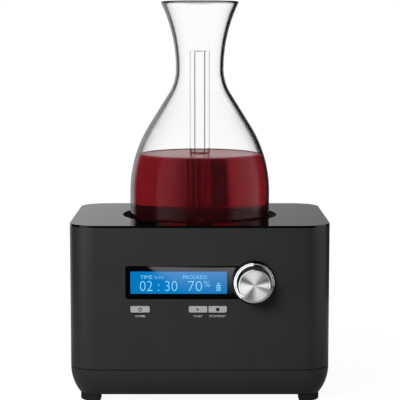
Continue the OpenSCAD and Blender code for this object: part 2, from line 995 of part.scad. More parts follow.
module oxygen_nozzle() {
    tip = vessel_z + nozzle_h;
    tip_in = 0.8;
    seat = vessel_z + seal_z;
    half = seal_wire + fit_gap / 2;
    thread_low = cup_low - nozzle_nut_h;
    color(steel)
        rotate_extrude()
        polygon([
            [nozzle_bore, barb_low],
            [nipple_r, barb_low],
            [nipple_r, thread_low],
            [thread_r, thread_low],
            [thread_r, cup_floor],
            [flange_r, cup_floor],
            [flange_r, cup_floor + nozzle_flange_t],
            [spigot_r, cup_floor + nozzle_flange_t],
            [spigot_r, seat - half],
            [groove_r, seat - half],
            [groove_r, seat + half],
            [spigot_r, seat + half],
            [spigot_r, tip - tip_in],
            [spigot_r - tip_in, tip],
            [nozzle_bore, tip]
        ]);
}

module nozzle_seal() {
    color(soft_black)
        translate([0, 0, vessel_z + seal_z])
        rotate_extrude()
        translate([seal_major, 0])
        circle(seal_wire);
}

module nozzle_nut() {
    color(brass)
        translate([0, 0, cup_low - nozzle_nut_h])
        difference() {
            cylinder(r = thread_r + 3.4, h = nozzle_nut_h, $fn = 6);
            translate([0, 0, -over])
                cylinder(r = thread_r + pilot_gap, h = nozzle_nut_h + 2 * over);
        }
}

// Decanter

module decanter_glass() {
    lip = [neck_r + flare_r, neck_z] + (flare_r + glass_t / 2) * [-cos(flare_angle), sin(flare_angle)];
    outside = concat(vessel_path(0), heel_path(0, 0));
    inside = concat(vessel_path(glass_t), heel_path(glass_t, glass_floor));
    color(clear)
        translate([0, 0, vessel_z])
        rotate_extrude()
        polygon(concat(
            outside,
            [[tube_r, 0], [tube_r, glass_floor]],
            reversed(inside),
            arc(lip, glass_t / 2, 180 - flare_angle, -flare_angle)
        ));
}

module air_tube() {
    lead_in = 0.7;
    wall_t = tube_r - tube_bore;
    color(clear)
        translate([0, 0, vessel_z])
        rotate_extrude()
        polygon(concat(
            [
                [tube_bore, lead_in],
                [tube_bore + lead_in, 0],
                [tube_r, 0]
            ],
            arc([tube_bore + wall_t / 2, tube_h - wall_t / 2], wall_t / 2, 0, 180)
        ));
}

// Front

module display_panel() {
    color(gloss_black)
        on_front(0, panel_z)
        translate([0, 0, -panel_t])
        difference() {
            linear_extrude(panel_t)
                panel_outline(0);
            translate([knob_x, 0, -over])
                cylinder(r = bushing_r + pass_gap, h = panel_t + 2 * over);
        }
}

module knob_bezel() {
    color(gloss_black)
        on_front(knob_x, panel_z)
        linear_extrude(bezel_h)
        difference() {
            circle(bezel_out);
            circle(bezel_in);
        }
}

module lcd_glass() {
    color(screen_blue)
        on_front(lcd_x, panel_z)
        translate([0, 0, -panel_t - lcd_t])
        linear_extrude(lcd_t)
        square([lcd_w, lcd_h], center = true);
}

module lcd_module() {
    pocket = panel_t + lcd_t;
    color(white_plastic)
        on_front(lcd_x, panel_z)
        translate([0, 0, -board_depth])
        difference() {
            linear_extrude(board_depth - wall)
                square([lcd_w + 2 * lcd_rim, lcd_h + 2 * lcd_rim], center = true);
            translate([0, 0, board_depth - pocket])
                linear_extrude(pocket)
                square([lcd_w + 2 * fit_gap, lcd_h + 2 * fit_gap], center = true);
        }
}

module control_knob() {
    flank_r = knob_r - knob_step;
    brow_r = knob_face_r + knob_bevel;
    ring_top = knob_gap + knob_skirt;
    dish = 0.25;
    cavity_r = brow_r - knob_wall;
    roof = knob_proud - knob_wall;
    color(silver)
        on_front(knob_x, panel_z)
        rotate_extrude()
        polygon([
            [flank_r - knob_wall / 2, knob_gap],
            [knob_r - 0.4, knob_gap],
            [knob_r, knob_gap + 0.4],
            [knob_r, ring_top - 0.9],
            [knob_r - 0.3, ring_top - 0.3],
            [knob_r - 0.8, ring_top],
            [flank_r, ring_top + 0.2],
            [brow_r, knob_proud - knob_bevel],
            [knob_face_r, knob_proud],
            [knob_face_r - 0.5, knob_proud],
            [0, knob_proud - dish],
            [0, shaft_end + run_gap],
            [shaft_r + run_gap, shaft_end + run_gap],
            [shaft_r + run_gap, hub_start],
            [hub_r, hub_start],
            [hub_r, roof],
            [cavity_r, roof]
        ]);
}

module encoder_shaft() {
    color(steel)
        on_front(knob_x, panel_z)
        translate([0, 0, -shaft_start])
        cylinder(r = shaft_r, h = shaft_start + shaft_end);
}

module encoder_body() {
    color(steel)
        on_front(knob_x, panel_z)
        difference() {
            union() {
                translate([-encoder_w / 2, -encoder_w / 2, -board_depth])
                    cube([encoder_w, encoder_w, encoder_d]);
                translate([0, 0, -encoder_front - encoder_d / 2])
                    cylinder(r = bushing_r, h = encoder_front + encoder_d / 2 + bushing_end);
            }
            translate([0, 0, -shaft_start - run_gap])
                cylinder(r = shaft_r + run_gap, h = shaft_start + bushing_end + over);
        }
}

module encoder_nut() {
    color(brass)
        on_front(knob_x, panel_z)
        difference() {
            cylinder(r = bushing_r + 3, h = encoder_nut_h, $fn = 6);
            translate([0, 0, -over])
                cylinder(r = bushing_r + pilot_gap, h = encoder_nut_h + 2 * over);
        }
}

// A key: cap through the wall, rim behind it and stem; the children are its outline, plain and with the rim
module key(x) {
    rim_z = -wall - run_gap - key_rim_t;
    color(silver) {
        on_front(0, key_z)
            translate([0, 0, rim_z])
            linear_extrude(key_proud - rim_z)
            children(0);
        on_front(0, key_z)
            translate([0, 0, rim_z])
            linear_extrude(key_rim_t)
            children(1);
        on_front(x, key_z)
            translate([0, 0, -stem_end])
            cylinder(r = stem_r, h = stem_end + rim_z + key_rim_t / 2);
    }
}

module power_button() {
    key(power_x) {
        power_outline(0);
        power_outline(key_rim);
    }
}

module start_button() {
    key(start_x) {
        start_outline(0);
        start_outline(key_rim);
    }
}

module stop_button() {
    key(stop_x) {
        stop_outline(0);
        stop_outline(key_rim);
    }
}

module plunger(x) {
    color(soft_black)
        on_front(x, key_z)
        translate([0, 0, -stem_end - plunger_l])
        cylinder(r = plunger_r, h = plunger_l);
}

module power_plunger() {
    plunger(power_x);
}

module start_plunger() {
    plunger(start_x);
}

module stop_plunger() {
    plunger(stop_x);
}

module switch_bodies() {
    bore_end = stem_end + plunger_l + key_travel + 0.3;
    color(steel)
        for (x = [power_x, start_x, stop_x])
            on_front(x, key_z)
            difference() {
                translate([-switch_w / 2, -switch_w / 2, -board_depth])
                    cube([switch_w, switch_w, switch_d]);
                translate([0, 0, -bore_end])
                    cylinder(r = plunger_r + 2 * run_gap, h = bore_end);
            }
}

module control_board() {
    color(board_green)
        difference() {
            on_front(0, board_mid)
                translate([-board_w / 2, -board_h / 2, -board_back])
                cube([board_w, board_h, board_t]);
            at_board_screws()
                translate([0, 0, -board_back - over])
                cylinder(r = board_screw_r + pass_gap, h = board_t + 2 * over);
        }
}

module board_screws() {
    color(steel)
        at_board_screws()
        translate([0, 0, -board_back])
        screw(board_screw_r, board_t + board_grip, board_head_r, board_head_h);
}

// Pump

module at_mounts(z) {
    for (x = [plate_x0 + mount_in, plate_x1 - mount_in], sy = [-1, 1])
        translate([x, pump_y + sy * mount_dy, z])
            children();
}

module pump_mounts() {
    color(soft_black)
        at_mounts(pan_floor) {
            cylinder(r = mount_r, h = mount_h);
            cylinder(r = mount_neck_r, h = mount_h + plate_t + mount_cap_h / 2);
            translate([0, 0, mount_h + plate_t])
                cylinder(r = mount_cap_r, h = mount_cap_h);
        }
}

module pump_plate() {
    cradle_w = 12;
    cradle_x = plate_x0 + mount_in + mount_cap_r + 3;
    cradle_d = 30;
    color(steel)
        difference() {
            union() {
                block([plate_x0, pump_y - plate_w / 2, plate_z], [plate_x1, pump_y + plate_w / 2, plate_top]);
                block(
                    [cradle_x, pump_y - cradle_d / 2, plate_z],
                    [cradle_x + cradle_w, pump_y + cradle_d / 2, motor_z - motor_r / 2]
                );
            }
            at_mounts(plate_z - over)
                cylinder(r = mount_neck_r + fit_gap, h = plate_t + 2 * over);
            translate([cradle_x - over, pump_y, motor_z])
                rotate([0, 90, 0])
                cylinder(r = motor_r + fit_gap, h = cradle_w + 2 * over);
        }
}

module pump_motor() {
    end_r = motor_r * 0.6;
    end_l = 3;
    color(steel)
        translate([pump_x - case_w / 2, pump_y, motor_z])
        rotate([0, -90, 0]) {
            cylinder(r = motor_r, h = motor_l);
            translate([0, 0, motor_l - over])
                cylinder(r = end_r, h = end_l + over);
        }
}

module pump_crankcase() {
    color(silver)
        difference() {
            block(
                [pump_x - case_w / 2, pump_y - case_d / 2, plate_top],
                [pump_x + case_w / 2, pump_y + case_d / 2, case_top]
            );
            at_bolts(case_top - bolt_deep - pilot_gap)
                cylinder(r = bolt_r + pilot_gap, h = bolt_deep + over);
        }
}

module at_bolts(z) {
    for (sx = [-1, 1], sy = [-1, 1])
        translate([pump_x + sx * bolt_at, pump_y + sy * bolt_at, z])
            children();
}

module pump_cylinder() {
    step = cyl_h / (fin_n + 1);
    color(silver)
        translate([pump_x, pump_y, case_top]) {
            cylinder(r = cyl_r, h = cyl_h);
            for (i = [1 : fin_n])
                translate([0, 0, i * step - fin_t / 2])
                    cylinder(r = cyl_r + fin_w, h = fin_t);
        }
}

module pump_head() {
    color(silver)
        difference() {
            union() {
                translate([pump_x, pump_y, head_z])
                    linear_extrude(head_h)
                    round_rect(head_w, head_w, 4);
                translate([inlet_x, pump_y, port_z])
                    rotate([0, 90, 0])
                    cylinder(r = nipple_r, h = outlet_x - inlet_x);
            }
            at_bolts(head_z - over)
                cylinder(r = bolt_r + pass_gap, h = head_h + 2 * over);
        }
}

module head_bolts() {
    shank = head_top - case_top + bolt_deep;
    color(steel)
        at_bolts(head_top)
        difference() {
            union() {
                translate([0, 0, -shank])
                    cylinder(r = bolt_r, h = shank + over);
                cylinder(r = bolt_head_r, h = bolt_head_h);
            }
            translate([0, 0, bolt_head_h / 2])
                cylinder(r = bolt_r, h = bolt_head_h, $fn = 6);
        }
}

// Oxygen sieve

module at_columns(z) {
    for (i = [0, 1])
        translate([column_x + i * column_step, sieve_y, z])
            children();
}

module valve_manifold() {
    color(steel)
        block(
            [sieve_x, sieve_y - manifold_d / 2, pan_floor],
            [sieve_x + manifold_w, sieve_y + manifold_d / 2, manifold_top]
        );
}

module solenoid_valve() {
    cap_r = 4.5;
    cap_l = 3;
    color(soft_black) {
        translate([valve_x - valve_w / 2, valve_y - valve_d / 2, pan_floor])
            cube([valve_w, valve_d, valve_h]);
        translate([valve_x, valve_y, valve_top - over])
            cylinder(r = coil_r, h = coil_h + over);
        translate([valve_x, valve_y, valve_top + coil_h - over])
            cylinder(r = cap_r, h = cap_l + over);
        translate(valve_in)
            rotate([0, 90, 0])
            cylinder(r = nipple_r, h = nipple_l + over);
    }
}

module sieve_columns() {
    color(white_plastic)
        at_columns(manifold_top)
        cylinder(r = column_r, h = column_h);
}

module column_caps() {
    color(blue_plastic)
        at_columns(column_top - cap_skirt) {
            difference() {
                cylinder(r = column_r + fit_gap + cap_t, h = cap_skirt + cap_h);
                translate([0, 0, -over])
                    cylinder(r = column_r + fit_gap, h = cap_skirt + over);
            }
            translate([0, 0, cap_skirt + cap_h / 2])
                cylinder(r = nipple_r, h = cap_h / 2 + nipple_l);
        }
}

module crossover_bar() {
    left = column_x - bar_end;
    right = column_x + column_step + bar_end;
    color(blue_plastic)
        difference() {
            union() {
                block([left, sieve_y - bar_w / 2, bar_z], [right, sieve_y + bar_w / 2, bar_z + bar_h]);
                translate([left - nipple_l, sieve_y, bar_z + bar_h / 2])
                    rotate([0, 90, 0])
                    cylinder(r = nipple_r, h = nipple_l + over);
            }
            at_columns(bar_z - over)
                cylinder(r = nipple_r + run_gap, h = nipple_l + over);
        }
}

// Air path

module intake_filter() {
    low = -wall - filter_l;
    color(white_plastic)
        on_rear(filter_x, filter_z) {
            translate([0, 0, low])
                cylinder(r = filter_r, h = filter_l);
            translate([0, 0, low - nipple_l])
                cylinder(r = nipple_r, h = nipple_l + over);
        }
}

module intake_hose() {
    a = [filter_x, rear_y - wall - filter_l - nipple_l, filter_z];
    b = [inlet_x, pump_y, port_z];
    color(hose_clear)
        flexible([
            a,
            a - [0, nipple_l * 0.75, 0],
            a - [-nipple_l / 2, nipple_l * 1.9, (a[2] - b[2]) * 0.35],
            b + [-nipple_l * 1.9, 0, (a[2] - b[2]) * 0.15],
            b - [nipple_l * 0.75, 0, 0],
            b
        ], hose_r, [0, 0, 1]);
}

module feed_hose() {
    a = [outlet_x, pump_y, port_z];
    b = valve_in;
    color(hose_clear)
        flexible([
            a,
            a + [nipple_l * 0.75, 0, 0],
            a + [nipple_l * 1.9, -nipple_l / 4, -nipple_l],
            (a + b) / 2,
            b + [-nipple_l * 1.75, nipple_l / 4, nipple_l * 1.5],
            b - [nipple_l * 0.75, 0, 0],
            b
        ], hose_r, [0, 1, 0]);
}

module oxygen_hose() {
    a = [column_x - bar_end - nipple_l, sieve_y, bar_z + bar_h / 2];
    b = [0, 0, barb_low];
    dip = nipple_l * 3.3;
    color(hose_clear)
        flexible([
            a,
            a - [nipple_l, 0, 0],
            a - [nipple_l * 1.5, nipple_l * 0.75, nipple_l * 1.2],
            [a[0] * 0.62, a[1] * 0.35, b[2] - dip * 0.9],
            [a[0] * 0.3, a[1] * 0.05, b[2] - dip],
            b - [0, 0, nipple_l * 2],
            b - [0, 0, nipple_l],
            b
        ], hose_r, [0, 1, 0]);
}

// Fan

module at_fan_screws() {
    for (sx = [-1, 1], sy = [-1, 1])
        on_rear(fan_x + sx * fan_bolt_at, fan_z + sy * fan_bolt_at)
            children();
}

module fan_frame() {
    strut_w = 3;
    bearing_r = shaft_r * 0.5;
    color(soft_black)
        difference() {
            on_rear(fan_x, fan_z)
                translate([0, 0, -wall - fan_d]) {
                    linear_extrude(fan_d)
                        difference() {
                            round_rect(fan_w, fan_w, 4);
                            circle(fan_duct_r);
                        }
                    linear_extrude(stator_t)
                        difference() {
                            union() {
                                circle(fan_hub_r);
                                for (a = [0 : 120 : 240])
                                    rotate(a)
                                        translate([0, -strut_w / 2])
                                        square([fan_duct_r + 0.7, strut_w]);
                            }
                            circle(bearing_r + run_gap);
                        }
                }
            at_fan_screws()
                translate([0, 0, -wall - fan_d - over])
                cylinder(r = fan_screw_r + pass_gap, h = fan_d + 2 * over);
        }
}

module fan_rotor() {
    tip_gap = 0.8;
    back_gap = 0.8;
    hub_l = fan_d - stator_t - 2 * back_gap;
    blade_t = 1.3;
    blade_w = hub_l * 0.95;
    bearing_r = shaft_r * 0.5;
    color(soft_black)
        on_rear(fan_x, fan_z)
        translate([0, 0, -wall - fan_d]) {
            translate([0, 0, stator_t + back_gap])
                cylinder(r = fan_hub_r, h = hub_l);
            translate([0, 0, 0.2])
                cylinder(r = bearing_r, h = stator_t + back_gap + over);
            intersection() {
                translate([0, 0, stator_t + back_gap])
                    cylinder(r = fan_duct_r - tip_gap, h = hub_l);
                for (i = [0 : fan_blades - 1])
                    rotate(360 * i / fan_blades)
                        translate([fan_hub_r - 2, 0, stator_t + back_gap + hub_l / 2])
                        rotate([fan_pitch, 0, 0])
                        translate([0, -blade_w / 2, -blade_t / 2])
                        cube([fan_duct_r, blade_w, blade_t]);
            }
        }
}

module fan_screws() {
    color(steel)
        at_fan_screws()
        translate([0, 0, -wall - fan_d])
        screw(fan_screw_r, fan_d + fan_screw_in, well_head_r, well_head_h);
}

// Boards and wiring

module at_main_screws(z) {
    for (x = [main_x + board_edge, main_x + main_l - board_edge], y = [main_y + board_edge, main_y + main_w - board_edge])
        translate([x, y, z])
            children();
}

module main_board() {
    color(board_green)
        difference() {
            block([main_x, main_y, main_z], [main_x + main_l, main_y + main_w, main_top]);
            at_main_screws(main_z - over)
                cylinder(r = board_screw_r + pass_gap, h = board_t + 2 * over);
        }
}

module board_parts() {
    color(soft_black) {
        translate([main_x + main_l * 0.12, main_y + main_w * 0.54, main_top]) {
            cube([sink_step * sink_n - sink_step + sink_t, sink_w, sink_base]);
            for (i = [0 : sink_n - 1])
                translate([i * sink_step, 0, 0])
                    cube([sink_t, sink_w, sink_h]);
        }
        for (x = [0.56, 0.7])
            translate([main_x + main_l * x, main_y + main_w * 0.79, main_top])
                cylinder(r = can_r, h = can_h);
        translate([ribbon_x - plug_w / 2, main_y + plug_in, main_top])
            cube([plug_w, plug_d, plug_h]);
        translate([lead_plug_x, lead_plug_y, main_top])
            cube([lead_plug_w, lead_plug_d, lead_plug_h]);
        on_front(ribbon_x, board_mid - board_h / 2)
            translate([-plug_w / 2, plug_up, -board_back - plug_d])
            cube([plug_w, plug_h, plug_d]);
    }
}

module main_board_screws() {
    color(steel)
        at_main_screws(main_top)
        mirror([0, 0, 1])
        screw(board_screw_r, board_t + standoff_h - 1, board_head_r, board_head_h);
}

module dc_jack() {
    back = -wall - jack_tail;
    color(soft_black)
        on_rear(jack_x, jack_z) {
            difference() {
                union() {
                    translate([0, 0, back - jack_body_d])
                        cylinder(r = jack_r, h = jack_body_d - back);
                    translate([-jack_body_w / 2, -jack_body_w / 2, -wall - jack_body_d])
                        cube([jack_body_w, jack_body_w, jack_body_d]);
                }
                translate([0, 0, -jack_depth])
                    cylinder(r = jack_bore, h = jack_depth + over);
            }
            translate([0, 0, -jack_depth - over])
                cylinder(r = jack_pin, h = jack_depth);
        }
}

module power_lead() {
    a = [jack_x, rear_y - wall - jack_tail - jack_body_d, jack_z];
    b = [lead_plug_x + lead_plug_w, lead_plug_y + lead_plug_d / 2, main_top + lead_plug_h / 2];
    low = pan_floor + lead_r * 1.5;
    behind = sieve_y + manifold_d * 0.75;
    color(soft_black)
        flexible([
            a,
            a - [0, lead_r * 1.5, 0],
            [a[0] - lead_r * 4, behind, a[2] - lead_r * 5],
            [(a[0] + aisle_x) / 2, behind, low + lead_r * 2.5],
            [aisle_x + lead_r * 3, behind - lead_r * 2, low],
            [aisle_x, sieve_y, low],
            [aisle_x, (sieve_y + b[1]) / 2, low],
            [aisle_x - lead_r, b[1] + lead_r * 7, low + lead_r],
            b + [lead_r * 2.5, 0, 0],
            b
        ], lead_r, [0, 0, 1]);
}

module ribbon_cable() {
    top_y = front_y + board_back + plug_d / 2;
    top_z = board_mid - board_h / 2 + plug_up;
    foot_y = main_y + plug_in + plug_d / 2;
    foot_z = main_top + plug_h;
    bow = plug_d * 0.8;
    half = ribbon_t / 2;
    line = [for (i = [0 : 12]) let (t = i / 12) [
        top_y + (foot_y - top_y) * t + bow * sin(180 * t),
        top_z + (foot_z - top_z) * t
    ]];
    color(hose_clear)
        translate([ribbon_x - ribbon_w / 2, 0, 0])
        rotate([90, 0, 90])
        linear_extrude(ribbon_w)
        polygon(concat(
            [for (p = line) p - [half, 0]],
            [for (p = reversed(line)) p + [half, 0]]
        ));
}

place() upper_housing();
place() bottom_pan();
place() top_deck();
place() rubber_feet();
place() foot_screws();
place() well_cup();
place() well_mat();
place() well_screws();
place() oxygen_nozzle();
place() nozzle_seal();
place() nozzle_nut();
place() decanter_glass();
place() air_tube();
place() display_panel();
place() knob_bezel();
place() lcd_glass();
place() lcd_module();
place() control_knob();
place() encoder_shaft();
place() encoder_body();
place() encoder_nut();
place() power_button();
place() start_button();
place() stop_button();
place() power_plunger();
place() start_plunger();
place() stop_plunger();
place() switch_bodies();
place() control_board();
place() board_screws();
place() pump_mounts();
place() pump_plate();
place() pump_motor();
place() pump_crankcase();
place() pump_cylinder();
place() pump_head();
place() head_bolts();
place() valve_manifold();
place() solenoid_valve();
place() sieve_columns();
place() column_caps();
place() crossover_bar();
place() intake_filter();
place() intake_hose();
place() feed_hose();
place() oxygen_hose();
place() fan_frame();
place() fan_rotor();
place() fan_screws();
place() main_board();
place() board_parts();
place() main_board_screws();
place() dc_jack();
place() power_lead();
place() ribbon_cable();
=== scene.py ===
"""Electric wine decanter: its finished pieces, modelled around the construction frame."""
import json
import math
from contextlib import contextmanager

import bmesh
import bpy
from bpy.props import FloatProperty, FloatVectorProperty, PointerProperty
from mathutils import Matrix, Vector


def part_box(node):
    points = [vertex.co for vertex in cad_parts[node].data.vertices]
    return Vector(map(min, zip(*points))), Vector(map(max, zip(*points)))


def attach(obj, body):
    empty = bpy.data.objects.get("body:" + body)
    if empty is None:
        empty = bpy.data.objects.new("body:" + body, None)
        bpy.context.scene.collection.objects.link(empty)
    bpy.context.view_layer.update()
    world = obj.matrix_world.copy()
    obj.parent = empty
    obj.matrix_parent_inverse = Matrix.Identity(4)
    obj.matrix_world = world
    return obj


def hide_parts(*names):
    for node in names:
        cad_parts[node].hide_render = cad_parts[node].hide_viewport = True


bl_info = {
    "name": "Electric wine decanter",
    "version": (1, 0, 0),
    "blender": (4, 5, 0),
    "location": "3D View > Sidebar > Decanter",
    "description": "Models and finishes an electric wine decanter around its construction frame",
    "category": "Object",
}

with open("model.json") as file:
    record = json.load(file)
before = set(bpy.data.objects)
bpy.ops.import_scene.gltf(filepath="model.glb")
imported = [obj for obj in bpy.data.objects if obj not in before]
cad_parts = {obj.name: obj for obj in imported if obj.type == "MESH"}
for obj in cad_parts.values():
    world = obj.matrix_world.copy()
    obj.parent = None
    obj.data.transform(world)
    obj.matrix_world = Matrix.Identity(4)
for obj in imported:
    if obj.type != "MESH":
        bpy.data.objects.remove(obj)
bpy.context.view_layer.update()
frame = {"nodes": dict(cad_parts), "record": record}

MM = 0.001
WELD = MM / 1000
HAIR = 0.05 * MM
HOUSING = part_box("upper_housing")
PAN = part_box("bottom_pan")
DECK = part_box("top_deck")
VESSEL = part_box("decanter_glass")
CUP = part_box("well_cup")
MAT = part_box("well_mat")
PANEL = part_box("display_panel")
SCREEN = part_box("lcd_glass")
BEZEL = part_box("knob_bezel")
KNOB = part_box("control_knob")
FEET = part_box("rubber_feet")
FRONT = HOUSING[0].y
REAR = HOUSING[1].y
AXIS = (VESSEL[0] + VESSEL[1]) / 2
SEAM = HOUSING[0].z
BODY_Y = (FRONT + REAR) / 2
KNOB_MIDDLE = (KNOB[0] + KNOB[1]) / 2
SCREEN_MIDDLE = (SCREEN[0] + SCREEN[1]) / 2
SCREEN_SIZE = SCREEN[1] - SCREEN[0]
BEZEL_RADIUS = (BEZEL[1].x - BEZEL[0].x) / 2
FACING_FRONT = (math.pi / 2, 0, 0)
FACING_REAR = (math.pi / 2, 0, math.pi)


# Sizes and colours

def length(name, description, default):
    return FloatProperty(name=name, description=description, default=default, unit="LENGTH", precision=5)


def turn(name, description, degrees):
    return FloatProperty(name=name, description=description, default=math.radians(degrees), subtype="ANGLE")


def share(name, description, default):
    return FloatProperty(name=name, description=description, default=default, min=0, subtype="FACTOR")


def watts(name, description, default):
    return FloatProperty(name=name, description=description, default=default, unit="POWER")


def tint(name, description, *default):
    return FloatVectorProperty(name=name, description=description, default=default, size=3, min=0, max=1,
                               subtype="COLOR")


class BaseSizes(bpy.types.PropertyGroup):
    """Sizes of the base's shells"""
    corner: length("Corner radius", "Radius of the body's upright corners", 26 * MM)
    wall: length("Wall", "Thickness of the moulded walls", 2.8 * MM)
    edge: length("Edge rounding", "Rounding of the shells' rims", 0.5 * MM)
    belly: length("Belly radius", "Radius of the pan's side where it curves under", 40 * MM)
    seam_gap: length("Seam", "Height of the parting line between housing and pan", 0.55 * MM)
    tongue: length("Tongue", "Thickness of the pan's tongue inside the housing", 1.6 * MM)
    fit: length("Fit", "Clearance round fitted pieces", 0.2 * MM)
    well: length("Well radius", "Radius of the deck's round hole", 73.5 * MM)
    cup_wall: length("Cup wall", "Thickness of the cup under the deck", 2.2 * MM)
    cup_taper: length("Cup taper", "Narrowing of the cup from its rim to its floor", 3 * MM)
    cup_flange: length("Cup flange", "Width of the cup's flange under the deck", 5 * MM)
    cup_hole: length("Nozzle hole", "Radius of the hole in the cup's floor", 5.1 * MM)
    mat_hole: length("Mat hole", "Inner radius of the rubber mat", 24 * MM)
    foot: length("Foot width", "Width of a corner foot", 19 * MM)
    foot_corner: length("Foot corner", "Radius of a foot's inner corners", 3 * MM)
    foot_edge: length("Foot edge", "Rounding of a foot's lower edge", 0.9 * MM)
    foot_recess: length("Foot recess", "Radius of the screw recess in a foot", 3.8 * MM)
    foot_recess_depth: length("Foot recess depth", "Depth of the screw recess in a foot", 4.8 * MM)
    vent_step: length("Vent step", "Distance between the rear slots", 6 * MM)
    vent_height: length("Vent height", "Height of a rear slot", 3 * MM)
    fan_vent: length("Fan vent radius", "Radius of the circle that the fan's slots fill", 26.6 * MM)
    filter_vent: length("Filter vent radius", "Radius of the circle that the intake's slots fill", 12 * MM)
    inlet: length("Inlet radius", "Radius of the hole for the power inlet", 4.3 * MM)


class VesselSizes(bpy.types.PropertyGroup):
    """Sizes of the glass and of the wine in it"""
    radius: length("Greatest radius", "Outer radius of the vessel's wall", 66.5 * MM)
    neck: length("Neck radius", "Outer radius of the narrowest place", 22.6 * MM)
    rim: length("Rim radius", "Outer radius of the lip", 36.5 * MM)
    neck_drop: length("Neck drop", "Drop from the lip to the narrowest place", 61.6 * MM)
    throat: length("Throat radius", "Radius of the curve below the neck", 44 * MM)
    slope: turn("Shoulder slope", "Slope of the shoulder from the upright", 32)
    shoulder: length("Shoulder radius", "Radius of the shoulder's curve into the wall", 120 * MM)
    heel: length("Heel radius", "Radius of the curve into the foot", 9 * MM)
    glass: length("Glass", "Thickness of the glass wall", 2.6 * MM)
    floor: length("Floor", "Thickness of the glass floor", 4.5 * MM)
    tube: length("Tube radius", "Outer radius of the air tube", 9.5 * MM)
    bore: length("Tube bore", "Bore radius of the air tube", 4.5 * MM)
    tube_height: length("Tube height", "Height of the air tube above the foot", 170.5 * MM)
    lead_in: length("Lead-in", "Bevel at the tube's lower end", 0.7 * MM)
    tube_gap: length("Tube gap", "Gap between the tube and the floor that holds it", 0.02 * MM)
    level: length("Wine level", "Height of the wine above the foot", 72.5 * MM)
    contact: length("Contact", "Depth to which the wine's skin lies in the glass", 0.25 * MM)
    creep: length("Creep", "Height to which the wine creeps up the glass", 0.6 * MM)


class FrontSizes(bpy.types.PropertyGroup):
    """Sizes of the display, knob and keys"""
    panel_corner: length("Panel corner", "Corner radius of the black window", 2.4 * MM)
    panel_edge: length("Panel edge", "Rounding of the window's edge", 0.25 * MM)
    panel_height: length("Panel height", "Height of the window's bar", 30.2 * MM)
    panel_depth: length("Panel depth", "Thickness of the window", PANEL[1].y - PANEL[0].y)
    screen_corner: length("Screen corner", "Corner radius of the screen", 0.6 * MM)
    screen_set_in: length("Screen set-in", "Depth of the screen's face behind the window's face", 0.15 * MM)
    bushing: length("Bushing hole", "Radius of the hole behind the knob", 4.5 * MM)
    bezel: length("Bezel", "Width of the ring round the knob", 1.1 * MM)
    knob_face: length("Knob face", "Radius of the knob's face", 13.5 * MM)
    knob_bevel: length("Knob bevel", "Bevel round the knob's face", 0.8 * MM)
    knob_step: length("Knob step", "Step from the knob's skirt to its flank", 1.5 * MM)
    knob_skirt: length("Knob skirt", "Height of the knob's skirt", 2.6 * MM)
    knob_wall: length("Knob wall", "Wall of the hollow knob", 2.4 * MM)
    knob_lean: turn("Knob lean", "Lean of the tool grooves on the knob's face", 11)
    knob_hub: length("Knob hub", "Radius of the hub inside the knob", 5.5 * MM)
    shaft: length("Shaft bore", "Radius of the shaft's bore in the hub", 3.05 * MM)
    key_corner: length("Key corner", "Corner radius of a key", 1.4 * MM)
    key_height: length("Key height", "Height of a key on the front", 5.9 * MM)
    key_width: length("Key width", "Width of the power key", 17.5 * MM)
    pair_width: length("Pair width", "Width of the two keys that share a slot", 34.5 * MM)
    pair_gap: length("Pair gap", "Gap between the two keys that share a slot", 1.1 * MM)
    key_edge: length("Key edge", "Rounding of a key's face", 0.4 * MM)
    key_gap: length("Key gap", "Gap round a key in its slot", 0.25 * MM)
    key_level: length("Key level", "Height of the keys' middle above the ground", 87.5 * MM)
    key_rim: length("Key rim", "Width of the rim that keeps a key in", 1.2 * MM)
    key_rim_depth: length("Key rim depth", "Thickness of the rim that keeps a key in", 1.2 * MM)
    key_stem: length("Key stem", "Radius of the stem behind a key", 2.3 * MM)
    ink: length("Ink", "Thickness of printed marks", 0.04 * MM)


class StageSizes(bpy.types.PropertyGroup):
    """Camera, floor and lights"""
    eye: FloatVectorProperty(name="Camera place", description="Where the camera stands", size=3,
                             default=(0.24 * MM, -1381.64 * MM, 331.38 * MM), subtype="TRANSLATION")
    pitch: turn("Camera pitch", "How far the camera looks down", 6.346)
    lens: FloatProperty(name="Lens", description="Focal length in millimetres", default=131.2, unit="CAMERA")
    floor: length("Floor radius", "Radius of the pale floor", 480 * MM)
    floor_shade: share("Floor shade", "Share of the floor's tone that takes shadows", 0.06)
    key_light: watts("Key light", "Power of the main lamp", 4.7)
    fill_light: watts("Fill light", "Power of each lamp behind", 4)
    ambient: share("Ambient", "Even light from the studio's walls", 0.36)


